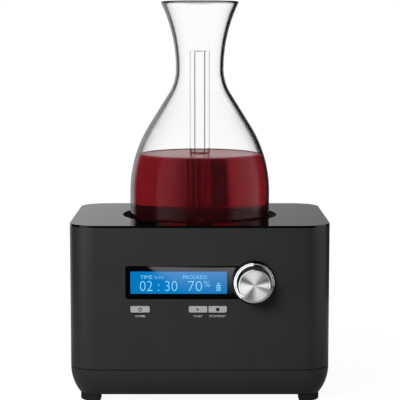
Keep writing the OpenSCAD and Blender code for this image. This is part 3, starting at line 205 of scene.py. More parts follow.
class Colours(bpy.types.PropertyGroup):
    """Colours of the finishes"""
    shell: tint("Shell", "Charcoal of the housing and pan", 0.0185, 0.0185, 0.0188)
    gloss: tint("Gloss black", "Black of the deck and window", 0.0012, 0.0012, 0.0014)
    rubber: tint("Rubber", "Black of the feet, mat and mounts", 0.012, 0.012, 0.012)
    soft: tint("Soft black", "Black of the cup and inlet", 0.016, 0.016, 0.0165)
    steel: tint("Steel", "Screws, nozzle and plates", 0.56, 0.57, 0.58)
    brass: tint("Brass", "Nuts", 0.65, 0.48, 0.2)
    alloy: tint("Cast alloy", "Pump castings", 0.42, 0.43, 0.44)
    knob: tint("Knob", "Turned metal of the knob", 0.86, 0.86, 0.86)
    key: tint("Key", "Silver of the keys", 0.53, 0.525, 0.51)
    white: tint("White plastic", "Light plastic inside", 0.72, 0.72, 0.7)
    blue: tint("Blue plastic", "Filter and valve inside", 0.05, 0.16, 0.42)
    board: tint("Board", "Green of the circuit boards", 0.012, 0.11, 0.045)
    hose: tint("Hose", "Milky hoses inside", 0.55, 0.57, 0.56)
    cable: tint("Cable", "Leads inside", 0.05, 0.05, 0.055)
    glass: tint("Glass", "Body colour of the glass", 1, 1, 1)
    wine: tint("Wine", "Light that the wine lets through", 0.62, 0.06, 0.16)
    screen: tint("Screen", "Blue of the lit screen", 0.0012, 0.172, 0.47)
    readout: tint("Readout", "Lit marks on the screen", 0.242, 0.73, 1)
    icon: tint("Icon", "Dark marks on the keys", 0.012, 0.012, 0.012)
    label: tint("Label", "Pale print below the keys", 0.46, 0.46, 0.46)


def base_sizes():
    return bpy.context.scene.decanter_base


def vessel_sizes():
    return bpy.context.scene.decanter_vessel


def front_sizes():
    return bpy.context.scene.decanter_front


def stage_sizes():
    return bpy.context.scene.decanter_stage


def colours():
    return bpy.context.scene.decanter_colours


# Modelling by hand

def alone(piece):
    """Selects one piece and nothing else."""
    bpy.ops.object.select_all(action="DESELECT")
    bpy.context.view_layer.objects.active = piece
    piece.select_set(True)


@contextmanager
def editing(piece):
    """Edit mode on one piece, with all of it selected at first."""
    alone(piece)
    bpy.ops.object.mode_set(mode="EDIT")
    bpy.ops.mesh.select_mode(type="VERT")
    bpy.ops.mesh.select_all(action="SELECT")
    yield
    bpy.ops.object.mode_set(mode="OBJECT")


def choose(piece, part, test):
    """Selects the verts or edges of the edited piece that pass a test."""
    bpy.ops.mesh.select_mode(type={"verts": "VERT", "edges": "EDGE"}[part])
    bpy.ops.mesh.select_all(action="DESELECT")
    mesh = bmesh.from_edit_mesh(piece.data)
    for item in getattr(mesh, part):
        if test(item):
            item.select_set(True)
    mesh.select_flush_mode()
    bmesh.update_edit_mesh(piece.data)


def close_up():
    """Merges doubles of the edited piece and turns its faces outwards."""
    bpy.ops.mesh.select_all(action="SELECT")
    bpy.ops.mesh.remove_doubles(threshold=WELD)
    bpy.ops.mesh.delete_loose()
    bpy.ops.mesh.select_all(action="SELECT")
    bpy.ops.mesh.normals_make_consistent(inside=False)


def blank(name):
    """A new plane at the origin, to be shaped."""
    bpy.ops.object.select_all(action="DESELECT")
    bpy.ops.mesh.primitive_plane_add(size=1)
    piece = bpy.context.object
    piece.name = piece.data.name = name
    return piece


def plate(name, width, height, radius, round_at=None, segments=10):
    """A flat face on the origin with round corners, at all four or only where round_at says."""
    piece = blank(name)
    with editing(piece):
        bpy.ops.transform.resize(value=(width, height, 1))
        if round_at:
            choose(piece, "verts", lambda vert: round_at(vert.co))
        if radius:
            bpy.ops.mesh.bevel(offset=radius, segments=segments, affect="VERTICES")
    return piece


def thicken(piece, depth):
    """Draws a flat face up into a solid."""
    with editing(piece):
        bpy.ops.mesh.extrude_region_move(TRANSFORM_OT_translate={"value": (0, 0, depth)})
        close_up()
    return piece


def slab(name, width, height, radius, depth, round_at=None, segments=10):
    return thicken(plate(name, width, height, radius, round_at, segments), depth)


def ring_wall(name, width, height, radius, wall, depth):
    """A wall that follows a rounded outline, open above and below."""
    piece = plate(name, width, height, radius, segments=16)
    with editing(piece):
        bpy.ops.mesh.inset(thickness=wall, depth=0)
        bpy.ops.mesh.delete(type="FACE")
    return thicken(piece, depth)


def turned(name, profile, steps=96):
    """A solid turned about Z from a profile of (radius, height) points."""
    piece = blank(name)
    with editing(piece):
        bpy.ops.mesh.merge(type="CENTER")
        bpy.ops.transform.translate(value=(profile[0][0], 0, profile[0][1]))
        for (r0, h0), (r1, h1) in zip(profile, profile[1:]):
            bpy.ops.mesh.extrude_region_move(TRANSFORM_OT_translate={"value": (r1 - r0, 0, h1 - h0)})
        bpy.ops.mesh.select_all(action="SELECT")
        bpy.ops.mesh.spin(steps=steps, angle=2 * math.pi, center=(0, 0, 0), axis=(0, 0, 1))
        close_up()
    return piece


def disc(name, radius, depth, steps=96):
    """A round slab."""
    bpy.ops.object.select_all(action="DESELECT")
    bpy.ops.mesh.primitive_circle_add(vertices=steps, radius=radius, fill_type="NGON")
    piece = bpy.context.object
    piece.name = piece.data.name = name
    return thicken(piece, depth)


def arc(centre, radius, start, end, steps):
    """Points along an arc, from one angle to the other."""
    angles = [start + (end - start) * i / steps for i in range(steps + 1)]
    return [(centre[0] + radius * math.cos(a), centre[1] + radius * math.sin(a)) for a in angles]


def settle(piece, place, facing=(0, 0, 0)):
    """Puts a piece in its place and writes the place into its mesh."""
    alone(piece)
    piece.location = place
    piece.rotation_euler = facing
    bpy.ops.object.transform_apply(location=True, rotation=True, scale=True)
    return piece


def finish_with(piece, kind, **settings):
    """Adds a modifier and applies it."""
    alone(piece)
    modifier = piece.modifiers.new(kind.title(), kind)
    for key, value in settings.items():
        setattr(modifier, key, value)
    bpy.ops.object.modifier_apply(modifier=modifier.name)


def carve(piece, *cutters, how="DIFFERENCE"):
    """Cuts other solids out of a piece, or joins them to it, and removes them."""
    for cutter in cutters:
        finish_with(piece, "BOOLEAN", object=cutter, operation=how, solver="EXACT")
        bpy.data.objects.remove(cutter)
        with editing(piece):
            bpy.ops.mesh.dissolve_degenerate(threshold=WELD)
            close_up()
    return piece


def joined(name, pieces):
    """Several pieces as one."""
    alone(pieces[0])
    for piece in pieces[1:]:
        piece.select_set(True)
    bpy.ops.object.join()
    pieces[0].name = pieces[0].data.name = name
    return pieces[0]


def copied(piece, name):
    """A copy with its own mesh."""
    alone(piece)
    bpy.ops.object.duplicate()
    copy = bpy.context.object
    copy.name = copy.data.name = name
    return copy


def round_off(piece, amount, test, segments=3):
    """Rounds the edges of a piece that pass a test."""
    with editing(piece):
        choose(piece, "edges", test)
        bpy.ops.mesh.bevel(offset=amount, segments=segments, affect="EDGES", clamp_overlap=False)


def at_height(edge, height, axis=2):
    """Whether an edge is a sharp one that lies at a height."""
    level = all(abs(vert.co[axis] - height) < MM / 100 for vert in edge.verts)
    return level and len(edge.link_faces) == 2 and edge.calc_face_angle() > math.radians(50)


def smooth(piece, degrees=35):
    """Smooth shading that keeps flat faces flat."""
    alone(piece)
    bpy.ops.object.shade_smooth_by_angle(angle=math.radians(degrees))
    finish_with(piece, "WEIGHTED_NORMAL", keep_sharp=True)


def seat(piece, body, slot, *nodes, look=None):
    """Gives a piece its finish, its body and the construction nodes that it stands for."""
    piece.data.materials.clear()
    piece.data.materials.append(finish(look or slot))
    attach(piece, body)
    if nodes:
        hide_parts(*nodes)
    return piece


def lettering(name, words, low, high, face, thin=0):
    """Raised words that fill a rectangle on a face towards the front, given as (x, z) corners."""
    bpy.ops.object.select_all(action="DESELECT")
    bpy.ops.object.text_add()
    piece = bpy.context.object
    piece.name = piece.data.name = name
    piece.data.body = words
    piece.data.resolution_u = 4
    piece.data.offset = -thin
    bpy.ops.object.convert(target="MESH")
    with editing(piece):
        bpy.ops.mesh.extrude_region_move(TRANSFORM_OT_translate={"value": (0, 0, front_sizes().ink)})
        close_up()
    corners = [Vector(corner) for corner in piece.bound_box]
    least = [min(corner[i] for corner in corners) for i in range(2)]
    most = [max(corner[i] for corner in corners) for i in range(2)]
    scale = [(high[i] - low[i]) / (most[i] - least[i]) for i in range(2)]
    piece.scale = (scale[0], scale[1], 1)
    place = (low[0] - least[0] * scale[0], face, low[1] - least[1] * scale[1])
    return settle(piece, place, FACING_FRONT)


def mark(piece, x, z, face):
    """Puts a flat mark on a face towards the front."""
    return settle(thicken(piece, front_sizes().ink), (x, face, z), FACING_FRONT)


# Finishes

class Wire:
    """A socket that takes part in sums: each operator adds a Math node."""

    def __init__(self, recipe, socket):
        self.recipe = recipe
        self.socket = socket

    def sum(self, operation, *values):
        return self.recipe.node("ShaderNodeMath", {"operation": operation}, dict(enumerate(values)))

    def __add__(self, other):
        return self.sum("ADD", self, other)

    def __sub__(self, other):
        return self.sum("SUBTRACT", self, other)

    def __rsub__(self, other):
        return self.sum("SUBTRACT", other, self)

    def __mul__(self, other):
        return self.sum("MULTIPLY", self, other)

    def __truediv__(self, other):
        return self.sum("DIVIDE", self, other)

    def __neg__(self):
        return self.sum("MULTIPLY", self, -1)

    def wave(self):
        return self.sum("SINE", self)

    def size(self):
        return self.sum("ABSOLUTE", self)

    def root(self):
        return self.sum("SQRT", self)

    __radd__ = __add__
    __rmul__ = __mul__


class Recipe:
    """The nodes of one finish."""

    def __init__(self, name, tree=None):
        self.material = None
        if tree is None:
            self.material = bpy.data.materials.new(name)
            self.material.use_nodes = True
            tree = self.material.node_tree
        self.tree = tree
        tree.nodes.clear()

    def node(self, kind, settings=None, inputs=None, out=0):
        """Adds a node: its settings first, then the values or links of its sockets."""
        node = self.tree.nodes.new(kind)
        for key, value in (settings or {}).items():
            setattr(node, key, value)
        for key, value in (inputs or {}).items():
            if isinstance(value, Wire):
                self.tree.links.new(value.socket, node.inputs[key])
            else:
                node.inputs[key].default_value = value
        return Wire(self, node.outputs[out])

    def place(self):
        """The piece's own coordinates in metres."""
        return self.node("ShaderNodeTexCoord", out="Object")

    def apart(self, vector):
        """The X, Y and Z of a vector."""
        split = self.node("ShaderNodeSeparateXYZ", None, {0: vector}).socket.node
        return [Wire(self, socket) for socket in split.outputs]

    def moved(self, vector, place=(0, 0, 0), scale=(1, 1, 1)):
        """Coordinates about another point, stretched."""
        settings = {"vector_type": "TEXTURE"}
        return self.node("ShaderNodeMapping", settings, {"Vector": vector, "Location": place, "Scale": scale})

    def noise(self, vector, size, detail=2):
        """Cloudy noise whose blobs are about one size across."""
        return self.node("ShaderNodeTexNoise", None, {"Vector": vector, "Scale": 1 / size, "Detail": detail})

    def between(self, value, low, high, start=0, end=1):
        """An eased change from start to end while the value goes from low to high."""
        settings = {"interpolation_type": "SMOOTHSTEP"}
        return self.node("ShaderNodeMapRange", settings, {0: value, 1: low, 2: high, 3: start, 4: end})

    def mixed(self, factor, first, second):
        """A colour between two others."""
        inputs = {0: factor, 6: self.full(first), 7: self.full(second)}
        return self.node("ShaderNodeMix", {"data_type": "RGBA"}, inputs, 2)

    @staticmethod
    def full(value):
        return value if isinstance(value, Wire) else (*value, 1)

    def bump(self, height, depth, strength=1):
        return self.node("ShaderNodeBump", None, {"Height": height, "Distance": depth, "Strength": strength})

    def surface(self, **inputs):
        """The finished surface. Words in a socket's name are joined by underscores."""
        named = {key.replace("_", " "): value for key, value in inputs.items()}
        for key in ("Base Color", "Emission Color"):
            if key in named:
                named[key] = self.full(named[key])
        shader = self.node("ShaderNodeBsdfPrincipled", None, named)
        self.output(Surface=shader)
        return self.material

    def rays(self):
        """One or zero each: whether a ray comes from the camera, from a mirror, through glass."""
        kinds = ("Camera", "Glossy", "Transmission")
        return [self.node("ShaderNodeLightPath", out=f"Is {kind} Ray") for kind in kinds]

    def shine(self, colour, strength):
        return self.node("ShaderNodeEmission", None, {"Color": self.full(colour), "Strength": strength})

    def output(self, kind="ShaderNodeOutputMaterial", **inputs):
        node = self.tree.nodes.new(kind)
        for key, value in inputs.items():
            self.tree.links.new(value.socket, node.inputs[key])


def scaled(colour, factor):
    return tuple(channel * factor for channel in colour)


def moulded(name, colour, rough, grain, depth, gloss=0.3, drift=0.12):
    """Moulded plastic or rubber: a fine spark-etched grain and a slight drift in tone."""
    recipe = Recipe(name)
    place = recipe.place()
    patches = recipe.noise(place, 30 * MM)
    fine = recipe.noise(place, grain)
    tone = recipe.mixed(patches, scaled(colour, 1 - drift), scaled(colour, 1 + drift))
    height = fine + recipe.noise(place, grain * 3) * 0.5
    return recipe.surface(Base_Color=tone, Roughness=rough + (fine - 0.5) * 0.16,
                          Specular_IOR_Level=gloss, Normal=recipe.bump(height, depth, 0.6))


def polished(name, colour, rough=0.03):
    """Polished black plastic with the faint unevenness of a moulded sheet and light wiping marks."""
    recipe = Recipe(name)
    place = recipe.place()
    smears = recipe.noise(recipe.moved(place, scale=(4, 1, 1)), 9 * MM, 4)
    swell = recipe.noise(place, 60 * MM, 1)
    tone = recipe.mixed(smears, scaled(colour, 0.8), scaled(colour, 1.3))
    return recipe.surface(Base_Color=tone, Roughness=rough + recipe.between(smears, 0.45, 0.75, 0, 0.02),
                          Normal=recipe.bump(swell, 0.01 * MM, 0.5))


def metal(name, colour, rough, brushed=(1, 1, 1), depth=0.006 * MM, metallic=1.0):
    """Metal, or silver paint, with a fine scratch grain that is drawn out where it is brushed."""
    recipe = Recipe(name)
    place = recipe.place()
    lines = recipe.noise(recipe.moved(place, scale=brushed), 0.4 * MM, 3)
    dull = recipe.noise(place, 12 * MM)
    tone = recipe.mixed(dull, scaled(colour, 0.86), colour)
    return recipe.surface(Base_Color=tone, Metallic=metallic, Roughness=rough + (lines - 0.5) * 0.2,
                          Normal=recipe.bump(lines, depth, 0.5))


def turned_metal(name, colour, centre):
    """Metal cut on a lathe: the face a little duller than the polished flank, with fine tool marks."""
    recipe = Recipe(name)
    place = recipe.moved(recipe.place(), centre)
    across, _, up = recipe.apart(place)
    radius = (across * across + up * up).root()
    marks = recipe.noise(recipe.moved(place, scale=(1, 40, 1)), 3 * MM, 1)
    feed = 0.11 * MM
    groove = (radius * (2 * math.pi / feed) + marks * 3).wave()
    face = recipe.between(radius, front_sizes().knob_face, front_sizes().knob_face - 0.3 * MM)
    tone = recipe.mixed(recipe.noise(place, 2 * MM), scaled(colour, 0.92), colour)
    return recipe.surface(Base_Color=tone, Metallic=1.0, Roughness=0.08 + face * 0.1,
                          Normal=recipe.bump(groove * face, 0.004 * MM, 1))


def lit_screen(name, colour, centre, width):
    """A backlit screen under clear plastic: a fine dot grid, a little brighter in the middle."""
    recipe = Recipe(name)
    place = recipe.place()
    across, _, up = recipe.apart(place)
    grid = math.pi / (0.55 * MM)
    dots = (across * grid).wave().size() * (up * grid).wave().size()
    middle = recipe.between((across - centre).size(), 0, width, 1, 0.75)
    glow = recipe.mixed(middle * (0.9 + dots * 0.1), scaled(colour, 0.2), scaled(colour, 1.05))
    return recipe.surface(Base_Color=scaled(colour, 0.1), Roughness=0.06, Emission_Color=glow,
                          Emission_Strength=1.0)


def glowing(name, colour):
    """Lit marks on the screen, very slightly uneven."""
    recipe = Recipe(name)
    uneven = recipe.noise(recipe.place(), 2 * MM)
    glow = recipe.mixed(uneven, scaled(colour, 0.82), colour)
    return recipe.surface(Base_Color=scaled(colour, 0.1), Roughness=0.06, Emission_Color=glow,
                          Emission_Strength=1.0)


def printed(name, colour):
    """Screen-printed ink with a slightly worn edge."""
    recipe = Recipe(name)
    worn = recipe.noise(recipe.place(), 0.5 * MM)
    return recipe.surface(Base_Color=recipe.mixed(worn, scaled(colour, 0.75), colour), Roughness=0.55)


def circuit_board(name, colour):
    """Solder mask over a net of copper tracks."""
    recipe = Recipe(name)
    place = recipe.place()
    pitch = 2.4 * MM
    steps = [(along * (math.pi / pitch)).wave().size() for along in recipe.apart(place)]
    track = recipe.between(steps[0] * steps[1] * steps[2], 0.02, 0.08, 1, 0)
    tone = recipe.mixed(track, colour, scaled(colour, 2.2))
    return recipe.surface(Base_Color=tone, Roughness=0.35, Normal=recipe.bump(track, 0.03 * MM, 0.4))


def clear_glass(name, colour, bend=1.5, edge=0.04):
    """Blown glass with the faintest waviness; its colour is darkened where it is seen along its wall and just
    below its lip, a painted shade that draws its dark outline (edge is the share of its colour kept there).
    """
    recipe = Recipe(name)
    wavy = recipe.noise(recipe.moved(recipe.place(), scale=(1, 1, 3)), 26 * MM, 1)
    edge_shade_facing = recipe.node("ShaderNodeLayerWeight", out="Facing")
    _, _, height = recipe.apart(recipe.place())
    top = VESSEL[1].z
    # Painted shade: a dark band in the glass's colour just below the lip.
    lip = recipe.between(height, top - 2.6 * MM, top - 1.4 * MM, 0, 0.75)
    # Painted shade: the colour darkens where the wall is seen edge-on, down to the edge share of itself.
    tone = recipe.mixed(recipe.between(edge_shade_facing, 0.6, 0.8), colour, scaled(colour, edge))
    tone = recipe.mixed(lip, tone, scaled(colour, edge))
    return recipe.surface(Base_Color=tone, Roughness=0.0, IOR=bend, Transmission_Weight=1.0,
                          Specular_Tint=(0.22, 0.22, 0.22, 1), Normal=recipe.bump(wavy, 0.02 * MM, 0.4))


def red_wine(name, colour):
    """Liquid that takes the light away over its depth, with a pale pink diffuse layer mixed in at its top
    millimetre: a painted sheen for its bright surface.
    """
    recipe = Recipe(name)
    deep_red, light_red, painted_sheen_colour = (0.55, 0.07, 0.1), (0.7, 0.12, 0.15), (0.78, 0.27, 0.29)
    haze = recipe.mixed(recipe.noise(recipe.place(), 8 * MM), deep_red, light_red)
    shader = recipe.node("ShaderNodeBsdfPrincipled", None, {
        "Base Color": haze, "Roughness": 0.0, "IOR": 1.33, "Transmission Weight": 0.88})
    depth = recipe.node("ShaderNodeVolumeAbsorption", None, {"Color": recipe.full(colour), "Density": 28.0})
    top = VESSEL[0].z + vessel_sizes().level
    # Painted sheen: pale pink diffuse mixed into the top millimetre of the wine, standing in for its bright
    # surface.
    painted_sheen_diffuse = recipe.node("ShaderNodeBsdfDiffuse", None, {"Color": recipe.full(painted_sheen_colour)})
    _, _, height = recipe.apart(recipe.place())
    sheen = recipe.between(height, top - MM, top, 0, 0.55)
    skin = recipe.node("ShaderNodeMixShader", None, {0: sheen, 1: shader, 2: painted_sheen_diffuse})
    recipe.output(Surface=skin, Volume=depth)
    return recipe.material


FINISHES = {
    "charcoal_shell": (moulded, "shell", 0.38, 0.3 * MM, 0.012 * MM, 0.36),
    "gloss_black": (polished, "gloss"),
    "black_rubber": (moulded, "rubber", 0.78, 0.5 * MM, 0.04 * MM, 0.25),
    "soft_black": (moulded, "soft", 0.42, 0.25 * MM, 0.012 * MM, 0.35),
    "steel": (metal, "steel", 0.3),
    "brass": (metal, "brass", 0.32),
    "cast_alloy": (metal, "alloy", 0.5, (1, 1, 1), 0.03 * MM),
    "key_silver": (metal, "key", 0.42, (12, 1, 1), 0.006 * MM, 0.5),
    "knob_metal": (turned_metal, "knob", KNOB_MIDDLE),
    "white_plastic": (moulded, "white", 0.4, 0.4 * MM, 0.01 * MM, 0.4, 0.04),
    "blue_plastic": (moulded, "blue", 0.4, 0.4 * MM, 0.01 * MM, 0.4, 0.06),
    "hose": (moulded, "hose", 0.35, 0.6 * MM, 0.01 * MM, 0.4, 0.06),
    "cable": (moulded, "cable", 0.5, 0.5 * MM, 0.02 * MM, 0.3, 0.1),
    "board_green": (circuit_board, "board"),
    "screen": (lit_screen, "screen", SCREEN_MIDDLE.x, SCREEN_SIZE.x),
    "clear_glass": (clear_glass, "glass"),
    # The tube's glass bends less and keeps a fifth of its colour in its painted edge shade.
    "tube_glass": (clear_glass, "glass", 1.16, 0.2),
    "red_wine": (red_wine, "wine"),
    "readout": (glowing, "readout"),
    "icon": (printed, "icon"),
    "label": (printed, "label"),
}


def finish(name):
    """A finish by its name, made once: how it is made, its colour, and what else it needs."""
    title = f"{name}_finish"
    make, colour, *rest = FINISHES[name]
    return bpy.data.materials.get(title) or make(title, getattr(colours(), colour), *rest)


# Stage

WHITE = (1, 1, 1)
LIT_POINT = Vector((0, 0, 0.1))
# The camera's line of sight, as the knob's flat face mirrors it.
MIRRORED_SIGHT = Vector((0.038, -1, -0.169))
# The two panels beside the camera, in degrees round the object: where each comes in and where it fades.
SIDE_PANELS = ((-79, -72, -60, -8), (46, 66, 104, 124))
# The slanted edge of the card that the window mirrors, as (x, z) points.
SLANT = ((-64.6 * MM, 48.4 * MM), (-31 * MM, 25.6 * MM))
# Strips on the card in front of the knob: angle, half width, strength.
STRIPS = ((0, 10, 1.0), (50, 14, 0.2), (100, 30, 0.72), (198, 24, 1.0), (298, 24, 0.75))
# Lamps round the knob: from and to an angle, from and to a distance off the front in millimetres, level.
SKIRT_LAMPS = {"left": (92, 232, 0, 18, 2.2), "low": (232, 300, 0, 6, 0.2), "right": (-10, 60, 0, 3.5, 1.6)}


def soft_panel(recipe, azimuth, degrees):
    """A panel that comes in over the first two edges and fades over the last two."""
    edges = [math.radians(edge) for edge in degrees]
    return recipe.between(azimuth, *edges[:2]) * recipe.between(azimuth, *edges[2:], 1, 0)


def studio_world(ambient):
    """A pale sweep behind, a soft panel at each side and darkness in front."""
    world = bpy.data.worlds.new("studio")
    world.use_nodes = True
    bpy.context.scene.world = world
    recipe = Recipe("studio", world.node_tree)
    camera, glossy, through = recipe.rays()
    direction = recipe.node("ShaderNodeTexCoord", out="Generated")
    x, y, z = recipe.apart(direction)
    azimuth = recipe.node("ShaderNodeMath", {"operation": "ARCTAN2"}, {0: x, 1: -y})
    left, right = (soft_panel(recipe, azimuth, edges) for edges in SIDE_PANELS)
    behind = recipe.between(y, 0.6, 0.85)
    above = recipe.between(z, 0.55, 0.9)
    # What mirrors show: the sweep behind, the ceiling and the two panels.
    sweep = recipe.between(x, -0.12, 0.12, 0.54, 0.29) * recipe.between(x, 0.2, 0.4, 1, 0.1)
    sweep = (sweep + recipe.between(x, -0.5, -0.3, 0.5, 0)) * behind
    ceiling = above * recipe.between(y, -0.2, 0.1, 0.02, 0.2)
    mirrored = sweep + ceiling + (1 - above) * (left * 0.9 + right * 0.85)
    ambient = recipe.between(z, -0.3, 0.4, 0.1 * ambient, ambient)
    # What glass shows: the backdrop straight through it, and a weak echo of the mirrored studio.
    unmirrored = recipe.between(recipe.node("ShaderNodeLightPath", out="Glossy Depth"), 0.4, 0.6, 1, 0)
    straight = through * unmirrored
    bounced = through * (1 - unmirrored)
    reflected = glossy * (1 - through)
    level = camera + straight * behind_glass(recipe, x, y, z) + (reflected + bounced * 0.1) * mirrored
    level = level + bounced * recipe.between(y, 0.93, 0.98, 0, 0.75)
    level = level + (1 - camera - through - reflected) * ambient
    shader = recipe.node("ShaderNodeBackground", None, {"Color": recipe.full(WHITE), "Strength": level})
    recipe.output("ShaderNodeOutputWorld", Surface=shader)


def behind_glass(recipe, x, y, z):
    """The pale backdrop through the glass, with dark flags low behind that shade the wine."""
    strip = recipe.between(x, -0.22, -0.17) * recipe.between(x, -0.05, 0.25, 0.95, 0)
    sides = recipe.between(x, -0.86, -0.74, 1, 0) + recipe.between(x, 0.7, 0.8, 0, 0.6)
    low = recipe.between(z, -0.085, -0.068, 1, 0) * recipe.between(z, -0.3, -0.2)
    flags = (strip + sides) * low * recipe.between(y, 0.1, 0.3)
    high = recipe.between(z, 0.15, 0.25) * recipe.between(y, 0.3, 0.5)
    return (1 - flags) * (1 - high * 0.95)


def pale_floor(shade, radius):
    """White to the eye, dimmer in mirrors, with a share of plain matt that takes the object's shadow."""
    recipe = Recipe("pale_floor")
    x, y, _ = recipe.apart(recipe.place())
    shade = shade * recipe.between((x * x + y * y).root(), 0.4 * radius, 0.9 * radius, 1, 0)
    camera, glossy, through = recipe.rays()
    in_mirrors = recipe.between(y, 0.05, 0.2, 0.12, 0.6) + recipe.between(x.size(), 0.28, 0.4, 0, 0.1)
    seen = camera + glossy * in_mirrors + through
    tone = recipe.mixed(camera, scaled(WHITE, 0.16), scaled(WHITE, 0.85))
    matt = recipe.node("ShaderNodeBsdfDiffuse", None, {"Color": tone})
    light = recipe.shine(WHITE, 1.0)
    mix = recipe.node("ShaderNodeMixShader", None, {0: seen * (1 - shade), 1: matt, 2: light})
    recipe.output(Surface=mix)
    return recipe.material


def unseen(thing, *rays):
    """Keeps a lamp or a card out of the sight of some rays."""
    for ray in rays:
        setattr(thing, f"visible_{ray}", False)


def lamp(name, place, facing, power, width):
    """A flat lamp, square at first."""
    bpy.ops.object.light_add(type="AREA", location=place)
    light = bpy.context.object
    light.name = name
    light.rotation_euler = facing
    light.data.energy = power
    light.data.size = width
    return light


def studio_lamp(name, place, power, width):
    """A soft lamp that looks at the base and isn't seen in mirrors or through glass."""
    facing = (LIT_POINT - Vector(place)).to_track_quat("-Z", "Y").to_euler()
    unseen(lamp(name, place, facing, power, width), "glossy", "transmission")


def knob_light():
    """What the card and the small lamps at the knob shine on: the knob alone."""
    return bpy.data.collections.get("knob_light") or bpy.data.collections.new("knob_light")


class DECANTER_OT_stage(bpy.types.Operator):
    """Camera, floor, lamps and studio"""
    bl_idname = "decanter.stage"
    bl_label = "Stage"

    def execute(self, context):
        size = stage_sizes()
        bpy.ops.object.camera_add(location=size.eye, rotation=(math.pi / 2 - size.pitch, 0, 0))
        camera = context.object
        camera.data.lens = size.lens
        context.scene.camera = camera
        context.scene.view_settings.view_transform = "Standard"
        studio_world(size.ambient)
        floor = turned("floor", [(0, -1 * MM), (size.floor, -1 * MM), (size.floor, 0), (0, 0)])
        floor.data.materials.append(pale_floor(size.floor_shade, size.floor))
        studio_lamp("key_lamp", (-0.2, -0.5, 0.42), size.key_light, 0.25)
        for name, side in (("right", 1), ("left", -1)):
            studio_lamp(f"back_lamp_{name}", (0.5 * side, 0.6, 0.7), size.fill_light, 0.5)
        self.glare_card()
        for name, row in SKIRT_LAMPS.items():
            self.skirt_lamps(f"skirt_lamp_{name}", *row)
        self.face_card()
        return {"FINISHED"}

    def glare_card(self):
        """A bright card in front that the window mirrors as a slanted glare."""
        left, right, low, high, away = -65 * MM, 55 * MM, 13 * MM, 49 * MM, 500 * MM
        card = blank("glare_card")
        with editing(card):
            bpy.ops.transform.resize(value=(right - left, high - low, 1))
        settle(card, ((left + right) / 2, FRONT - away, (low + high) / 2), FACING_REAR)
        with editing(card):
            start, end = (Vector((x, FRONT - away, z)) for x, z in SLANT)
            across = (end - start).normalized()
            bpy.ops.mesh.bisect(plane_co=start, plane_no=(-across.z, 0, across.x), clear_inner=True)
        recipe = Recipe("glare")
        _, _, height = recipe.apart(recipe.place())
        fade = recipe.between(height, low, high)
        self.mirrored_only(card, recipe, recipe.mixed(fade, scaled(WHITE, 0.1), WHITE), 2.6)

    @staticmethod
    def skirt_lamps(name, start, end, near, far, level):
        """A bent row of small flat lamps round the knob, which its polished skirt mirrors."""
        clear = 31 * MM
        widest = 10
        count = round((end - start) / widest)
        step = math.radians(end - start) / count
        width = 2 * clear * math.tan(step / 2)
        height = (far - near) * MM
        for index in range(count):
            angle = math.radians(start) + (index + 0.5) * step
            outward = Vector((math.cos(angle), 0, math.sin(angle)))
            along = (MIRRORED_SIGHT - MIRRORED_SIGHT.dot(outward) * outward).normalized()
            foot = Vector((KNOB_MIDDLE.x, FRONT - MM, KNOB_MIDDLE.z)) + clear * outward
            facing = Matrix((along.cross(outward), along, outward)).transposed().to_euler()
            light = lamp(f"{name}_{index + 1}", foot + (near + far) / 2 * MM * MIRRORED_SIGHT, facing,
                         level * math.pi * width * height, width)
            light.data.shape = "RECTANGLE"
            light.data.size_y = height
            light.light_linking.receiver_collection = knob_light()
            unseen(light, "camera", "diffuse", "transmission", "volume_scatter")

    def face_card(self):
        """A ring of soft strips in front of the knob, which its turned face draws out into wedges."""
        radius, hole, away, most, least = 19.5 * MM, 1.5 * MM, 11 * MM, 1.1, 0.1
        card = disc("face_card", radius, MM)
        carve(card, settle(disc("face_card_hole", hole, 3 * MM, 32), (0, 0, -MM)))
        middle = Vector((KNOB_MIDDLE.x, KNOB[0].y, KNOB_MIDDLE.z)) + away * MIRRORED_SIGHT
        settle(card, middle, FACING_FRONT)
        recipe = Recipe("face_card")
        x, _, z = recipe.apart(recipe.moved(recipe.place(), middle))
        across = (x * x + z * z).root()
        level = least
        for clock, half_width, strength in STRIPS:
            angles = (clock, half_width * 1.7, half_width * 0.5)
            clock, rim, core = (math.radians(angle) for angle in angles)
            towards = (x * math.cos(clock) + z * math.sin(clock)) / across
            level = level + recipe.between(towards, math.cos(rim), math.cos(core), 0, strength)
        card.light_linking.receiver_collection = knob_light()
        self.mirrored_only(card, recipe, recipe.mixed(level / most, scaled(WHITE, 0), WHITE), most)

    @staticmethod
    def mirrored_only(card, recipe, colour, strength):
        """Lights a card and keeps it out of everything but mirrors."""
        recipe.output(Surface=recipe.shine(colour, strength))
        card.data.materials.append(recipe.material)
        unseen(card, "camera", "diffuse", "transmission", "volume_scatter", "shadow")


# Base

def panel_outline(name, grow, depth):
    """The window's outline as a solid that faces up, about the knob's axis: a bar and a disc."""
    front = front_sizes()
    width = KNOB_MIDDLE.x - PANEL[0].x + grow
    bar = slab(name, width, front.panel_height + 2 * grow, front.panel_corner + grow, depth)
    settle(bar, (-width / 2, 0, 0))
    carve(bar, disc("round_end", BEZEL_RADIUS + grow, depth), how="UNION")
    with editing(bar):
        bpy.ops.mesh.dissolve_limited(angle_limit=math.radians(0.5))
    return bar


def on_front(piece, x, z, depth=0):
    """Turns a piece to the front, at a depth behind the front wall's face."""
    return settle(piece, (x, FRONT + depth, z), FACING_FRONT)


def on_rear(piece, node, depth):
    """Turns a piece to the rear, opposite the middle of a construction node."""
    middle = sum(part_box(node), Vector()) / 2
    return settle(piece, (middle.x, REAR - depth, middle.z), FACING_REAR)


def on_axis(piece, height=0):
    """Puts a turned piece on the vessel's axis."""
    return settle(piece, (AXIS.x, AXIS.y, height))


